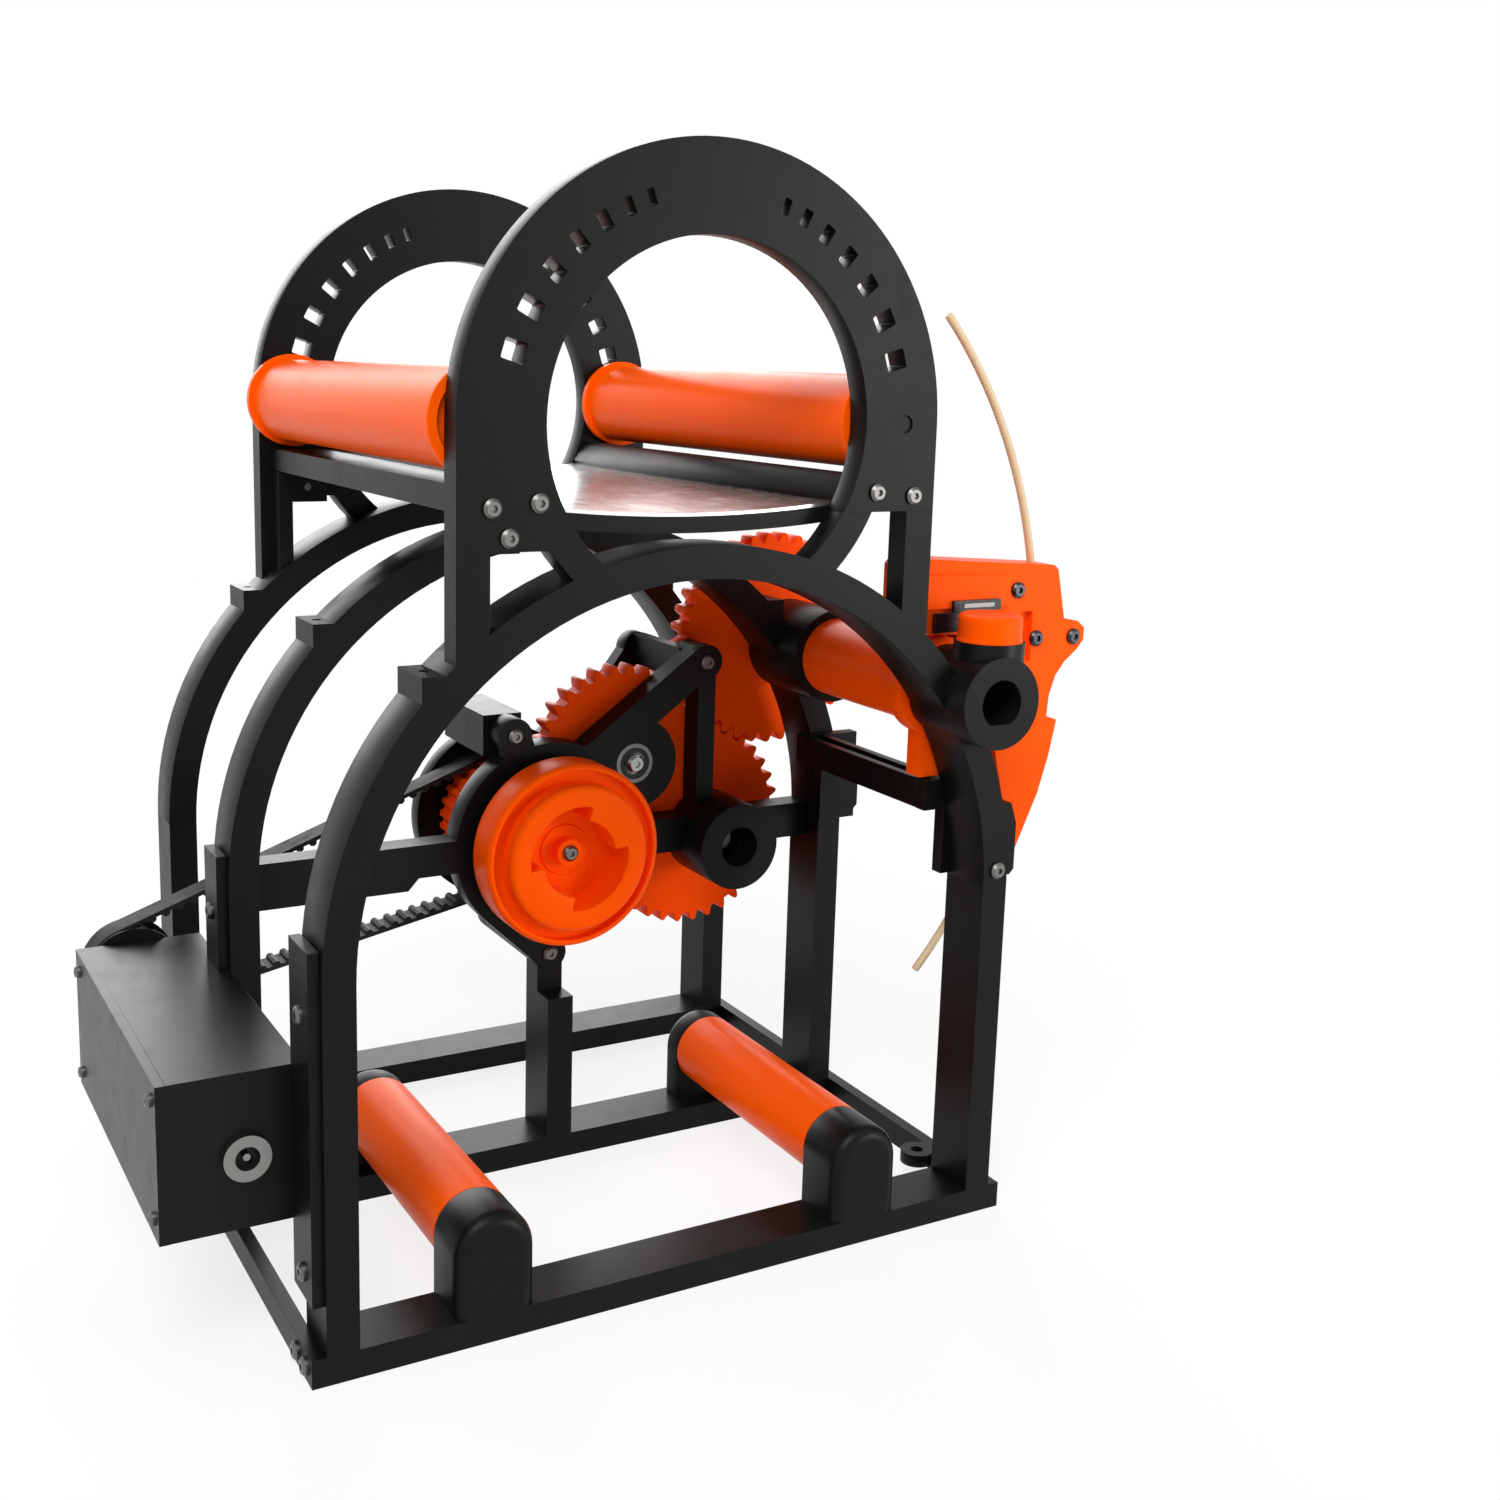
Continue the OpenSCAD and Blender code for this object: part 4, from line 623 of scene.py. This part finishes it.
@dataclass(frozen=True)
class Shield:
    """Thin ring let into the front face of a turned node."""

    name: str
    node: str
    inner: float
    outer: float
    sink: float
    thick: float
    slot: str

    def build(self, shop: Workshop) -> bpy.types.Object:
        """Return the ring, sunk behind the front face of its node."""
        low, high = box_of(self.node)
        centre = (low + high) / 2
        front = low.y + self.sink
        back = front + self.thick
        turns = [2 * math.pi * k / RING_STEPS for k in range(RING_STEPS)]
        work = bmesh.new()
        rings = [
            [
                work.verts.new((
                    centre.x + radius * math.cos(turn),
                    y,
                    centre.z + radius * math.sin(turn),
                ))
                for turn in turns
            ]
            for radius, y in (
                (self.inner, back), (self.inner, front),
                (self.outer, front), (self.outer, back),
            )
        ]
        for first, second in zip(rings, rings[1:] + rings[:1]):
            for k in range(RING_STEPS):
                after = (k + 1) % RING_STEPS
                work.faces.new((first[k], first[after], second[after], second[k]))
        bmesh.ops.recalc_face_normals(work, faces=work.faces)
        body = body_of(frame["nodes"][self.node])[0]
        return shop.new_piece(self.name, work, self.slot, body)


@dataclass(frozen=True)
class Plate:
    """Small block with rounded edges at the front face of a node's box."""

    name: str
    node: str
    span_x: tuple[float, float]
    span_z: tuple[float, float]
    proud: float
    thick: float
    slot: str

    def build(self, shop: Workshop) -> bpy.types.Object:
        """Return the block; its spans are shares of the node's box."""
        low, high = box_of(self.node)
        size = high - low
        x0, x1 = (low.x + size.x * share for share in self.span_x)
        z0, z1 = (low.z + size.z * share for share in self.span_z)
        y0 = low.y - self.proud
        work = bmesh.new()
        for vertex in bmesh.ops.create_cube(work, size=1.0)["verts"]:
            vertex.co = (
                x0 if vertex.co.x < 0 else x1,
                y0 if vertex.co.y < 0 else y0 + self.thick,
                z0 if vertex.co.z < 0 else z1,
            )
        round_edges(work, list(work.edges), PLATE_BEVEL)
        body = body_of(frame["nodes"][self.node])[0]
        return shop.new_piece(self.name, work, self.slot, body)


@dataclass(frozen=True)
class SubAssembly:
    """A group of nodes dressed together."""

    title: str
    soft: tuple[str, ...] = ()
    plain: tuple[str, ...] = ()
    edge: float = 0.45 * MM
    added: tuple[Shield | Plate, ...] = ()

    def build(self, shop: Workshop) -> list[bpy.types.Object]:
        """Dress the group.

        Args:
            shop: The workshop with the finishes.

        Returns:
            The pieces that show.
        """
        pieces = [shop.soften_node(node, self.edge) for node in self.soft]
        pieces += [shop.dress_node(node) for node in self.plain]
        return pieces + [piece.build(shop) for piece in self.added]


@dataclass(frozen=True)
class Lamp:
    """Soft square lamp that points at the middle of the winder."""

    name: str
    place: Colour
    side: float
    watts: float
    aim: Colour = (0.0, 0.0, 0.17)

    def hang(self) -> None:
        """Add the lamp to the scene."""
        data = bpy.data.lights.new(self.name, "AREA")
        data.shape, data.size, data.energy = "SQUARE", self.side, self.watts
        lamp = bpy.data.objects.new(self.name, data)
        lamp.location = self.place
        lamp.rotation_mode = "QUATERNION"
        beam = Vector(self.aim) - Vector(self.place)
        lamp.rotation_quaternion = beam.to_track_quat("-Z", "Y")
        bpy.context.scene.collection.objects.link(lamp)


LAMPS = (
    Lamp("key_lamp", place=(-0.8, -1.0, 1.6), side=0.95, watts=27.0),
    Lamp("fill_lamp", place=(1.4, -1.6, 0.4), side=0.8, watts=19.0),
    Lamp("back_lamp", place=(0.35, 2.0, 0.95), side=1.7, watts=40.0),
)


@dataclass(frozen=True)
class Studio:
    """Camera, lamps, floor and world.

    Angles are in degrees; the focal length is in the photograph's pixels.
    """

    focal_pixels: float = 1703.82
    heading: float = 28.81
    pitch: float = 10.41
    roll: float = 1.38
    position: Colour = (-252.3 * MM, -438.05 * MM - HALF_DEPTH, 294.0 * MM)
    shift: float = 0.05
    sensor: float = 36.0
    near: float = 0.01
    far: float = 50.0
    floor_half: float = 6.0
    floor_drop: float = 0.2 * MM
    floor_colour: Colour = (0.93, 0.93, 0.93)
    white: Colour = (1.0, 1.0, 1.0)
    world_fill: float = 0.38
    floor_white: float = 0.8
    fade_from: float = 0.2
    fade_to: float = 0.75

    def camera(self) -> None:
        """Place the camera where the photograph was taken from."""
        turn, tip = math.radians(self.heading), math.radians(self.pitch)
        lean = math.radians(self.roll)
        ahead = Vector((
            math.sin(turn) * math.cos(tip),
            math.cos(turn) * math.cos(tip),
            -math.sin(tip),
        ))
        right = Vector((math.cos(turn), -math.sin(turn), 0.0))
        down = ahead.cross(right)
        image_x = math.cos(lean) * right - math.sin(lean) * down
        image_y = math.sin(lean) * right + math.cos(lean) * down
        axes = Matrix((image_x, -image_y, -ahead)).transposed()
        data = bpy.data.cameras.new("photo_camera")
        data.sensor_width = self.sensor
        data.lens = self.focal_pixels / PHOTO_SIDE * self.sensor
        data.shift_x = self.shift
        data.shift_y = -self.shift
        data.clip_start, data.clip_end = self.near, self.far
        camera = bpy.data.objects.new("photo_camera", data)
        camera.matrix_world = Matrix.Translation(self.position) @ axes.to_4x4()
        bpy.context.scene.collection.objects.link(camera)
        bpy.context.scene.camera = camera

    def floor(self) -> None:
        """Lay a pale floor that keeps the shadow and reads as white."""
        work = bmesh.new()
        bmesh.ops.create_grid(work, x_segments=1, y_segments=1, size=self.floor_half)
        mesh = bpy.data.meshes.new("studio_floor")
        work.to_mesh(mesh)
        work.free()
        material = bpy.data.materials.new("studio_floor")
        graph = Graph(material)
        seen = graph.ray("Is Camera Ray") + graph.ray("Is Glossy Ray")
        matt = graph.add(
            "ShaderNodeBsdfDiffuse", {}, {"Color": as_rgba(self.floor_colour)}
        )
        bright = graph.add("ShaderNodeEmission", {}, {"Color": as_rgba(self.white)})
        reach = graph.add(
            "ShaderNodeVectorMath", {"operation": "LENGTH"}, {0: graph.coords()},
            out="Value",
        )
        fade = ((reach - self.fade_from) / (self.fade_to - self.fade_from)).clamped()
        level = fade * (1.0 - self.floor_white) + self.floor_white
        mixed = graph.add(
            "ShaderNodeMixShader", {}, {0: (seen * level).clamped(), 1: matt, 2: bright}
        )
        graph.add("ShaderNodeOutputMaterial", {}, {"Surface": mixed})
        mesh.materials.append(material)
        plane = bpy.data.objects.new("studio_floor", mesh)
        plane.location.z = -self.floor_drop
        bpy.context.scene.collection.objects.link(plane)

    def world(self) -> None:
        """Fill the room with white, dimmer for the light than for the eye."""
        world = bpy.data.worlds.new("studio_world")
        graph = Graph(world)
        seen = graph.ray("Is Camera Ray").highest(graph.ray("Is Glossy Ray"))
        seen = seen.highest(graph.ray("Is Transmission Ray"))
        level = seen * (1.0 - self.world_fill) + self.world_fill
        white = as_rgba(self.white)
        sky = graph.add("ShaderNodeBackground", {}, {"Color": white, "Strength": level})
        graph.add("ShaderNodeOutputWorld", {}, {"Surface": sky})
        bpy.context.scene.world = world

    def build(self) -> None:
        """Set the whole studio up."""
        self.camera()
        self.world()
        self.floor()
        for lamp in LAMPS:
            lamp.hang()
        view = bpy.context.scene.view_settings
        view.view_transform = "Standard"


GROUPS = (
    SubAssembly(
        "arches",
        soft=(
            "front_arch", "middle_arch", "rear_arch", "left_side_rail",
            "right_side_rail",
        ),
        plain=("base_screws",),
    ),
    SubAssembly(
        "upper cradle",
        soft=("front_ring", "rear_ring", "left_tray_rail", "right_tray_rail"),
        plain=(
            "ring_screws", "tray_sheet", "front_tray_saddle", "rear_tray_saddle",
            "top_roller_axles", "top_roller_left", "top_roller_right",
        ),
    ),
    SubAssembly(
        "lower rollers",
        plain=("bottom_roller_axles", "bottom_roller_left", "bottom_roller_right"),
    ),
    SubAssembly(
        "gearbox",
        soft=("carrier_plate", "rear_gear_plate"),
        plain=("spacer_bars", "gearbox_screws", "hub_bearings", "idler_bearings"),
        added=(
            Shield(
                "idler_bearing_shield", "idler_bearings", 4.4 * MM, 5.8 * MM,
                0.3 * MM, 0.3 * MM, "latch_black",
            ),
        ),
    ),
    SubAssembly(
        "hub",
        soft=("hub_socket",),
        plain=("hub_shaft", "hub_pulley", "hub_screw"),
        edge=0.7 * MM,
    ),
    SubAssembly(
        "gears",
        soft=("idler_gear", "transfer_gear", "traverse_gear"),
        plain=("idler_axle", "transfer_axle"),
        edge=0.5 * MM,
    ),
    SubAssembly(
        "traverse",
        soft=("guide_rail", "front_rail_clip", "rear_rail_clip"),
        plain=(
            "traverse_screw", "traverse_bushes", "boss_cap", "guide_tube",
            "rail_clip_screws",
        ),
    ),
    SubAssembly(
        "motor box",
        soft=("motor_box", "box_lid", "box_straps"),
        plain=(
            "lid_screws", "motor", "motor_shaft", "motor_pulley", "power_inlet",
            "strap_screws", "drive_belt",
        ),
    ),
    SubAssembly(
        "filament guide",
        soft=("filament_guide", "guide_cover", "filament_strand"),
        plain=("guide_latch", "guide_screws", "cam_follower"),
        edge=0.6 * MM,
        added=(
            Plate(
                "latch_pin", "guide_latch", (0.2, 0.86), (0.3, 0.74),
                0.2 * MM, 0.7 * MM, "bearing_steel",
            ),
            # Painted shade: a black plate that stands for the dark hollow below the
            # latch.
            Plate(
                "latch_shade_plate", "guide_latch", (-0.38, 0.24), (-1.8, -0.05),
                -0.25 * MM, 1.4 * MM, "latch_black",
            ),
        ),
    ),
)


def main() -> None:
    """Build the groups in order and report each piece."""
    logging.basicConfig(level=logging.INFO, format="%(name)s: %(message)s")
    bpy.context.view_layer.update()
    Studio().build()
    shop = Workshop()
    for group in GROUPS:
        pieces = group.build(shop)
        log.info("%s: %s", group.title, ", ".join(piece.name for piece in pieces))


if __name__ == "__main__":
    main()
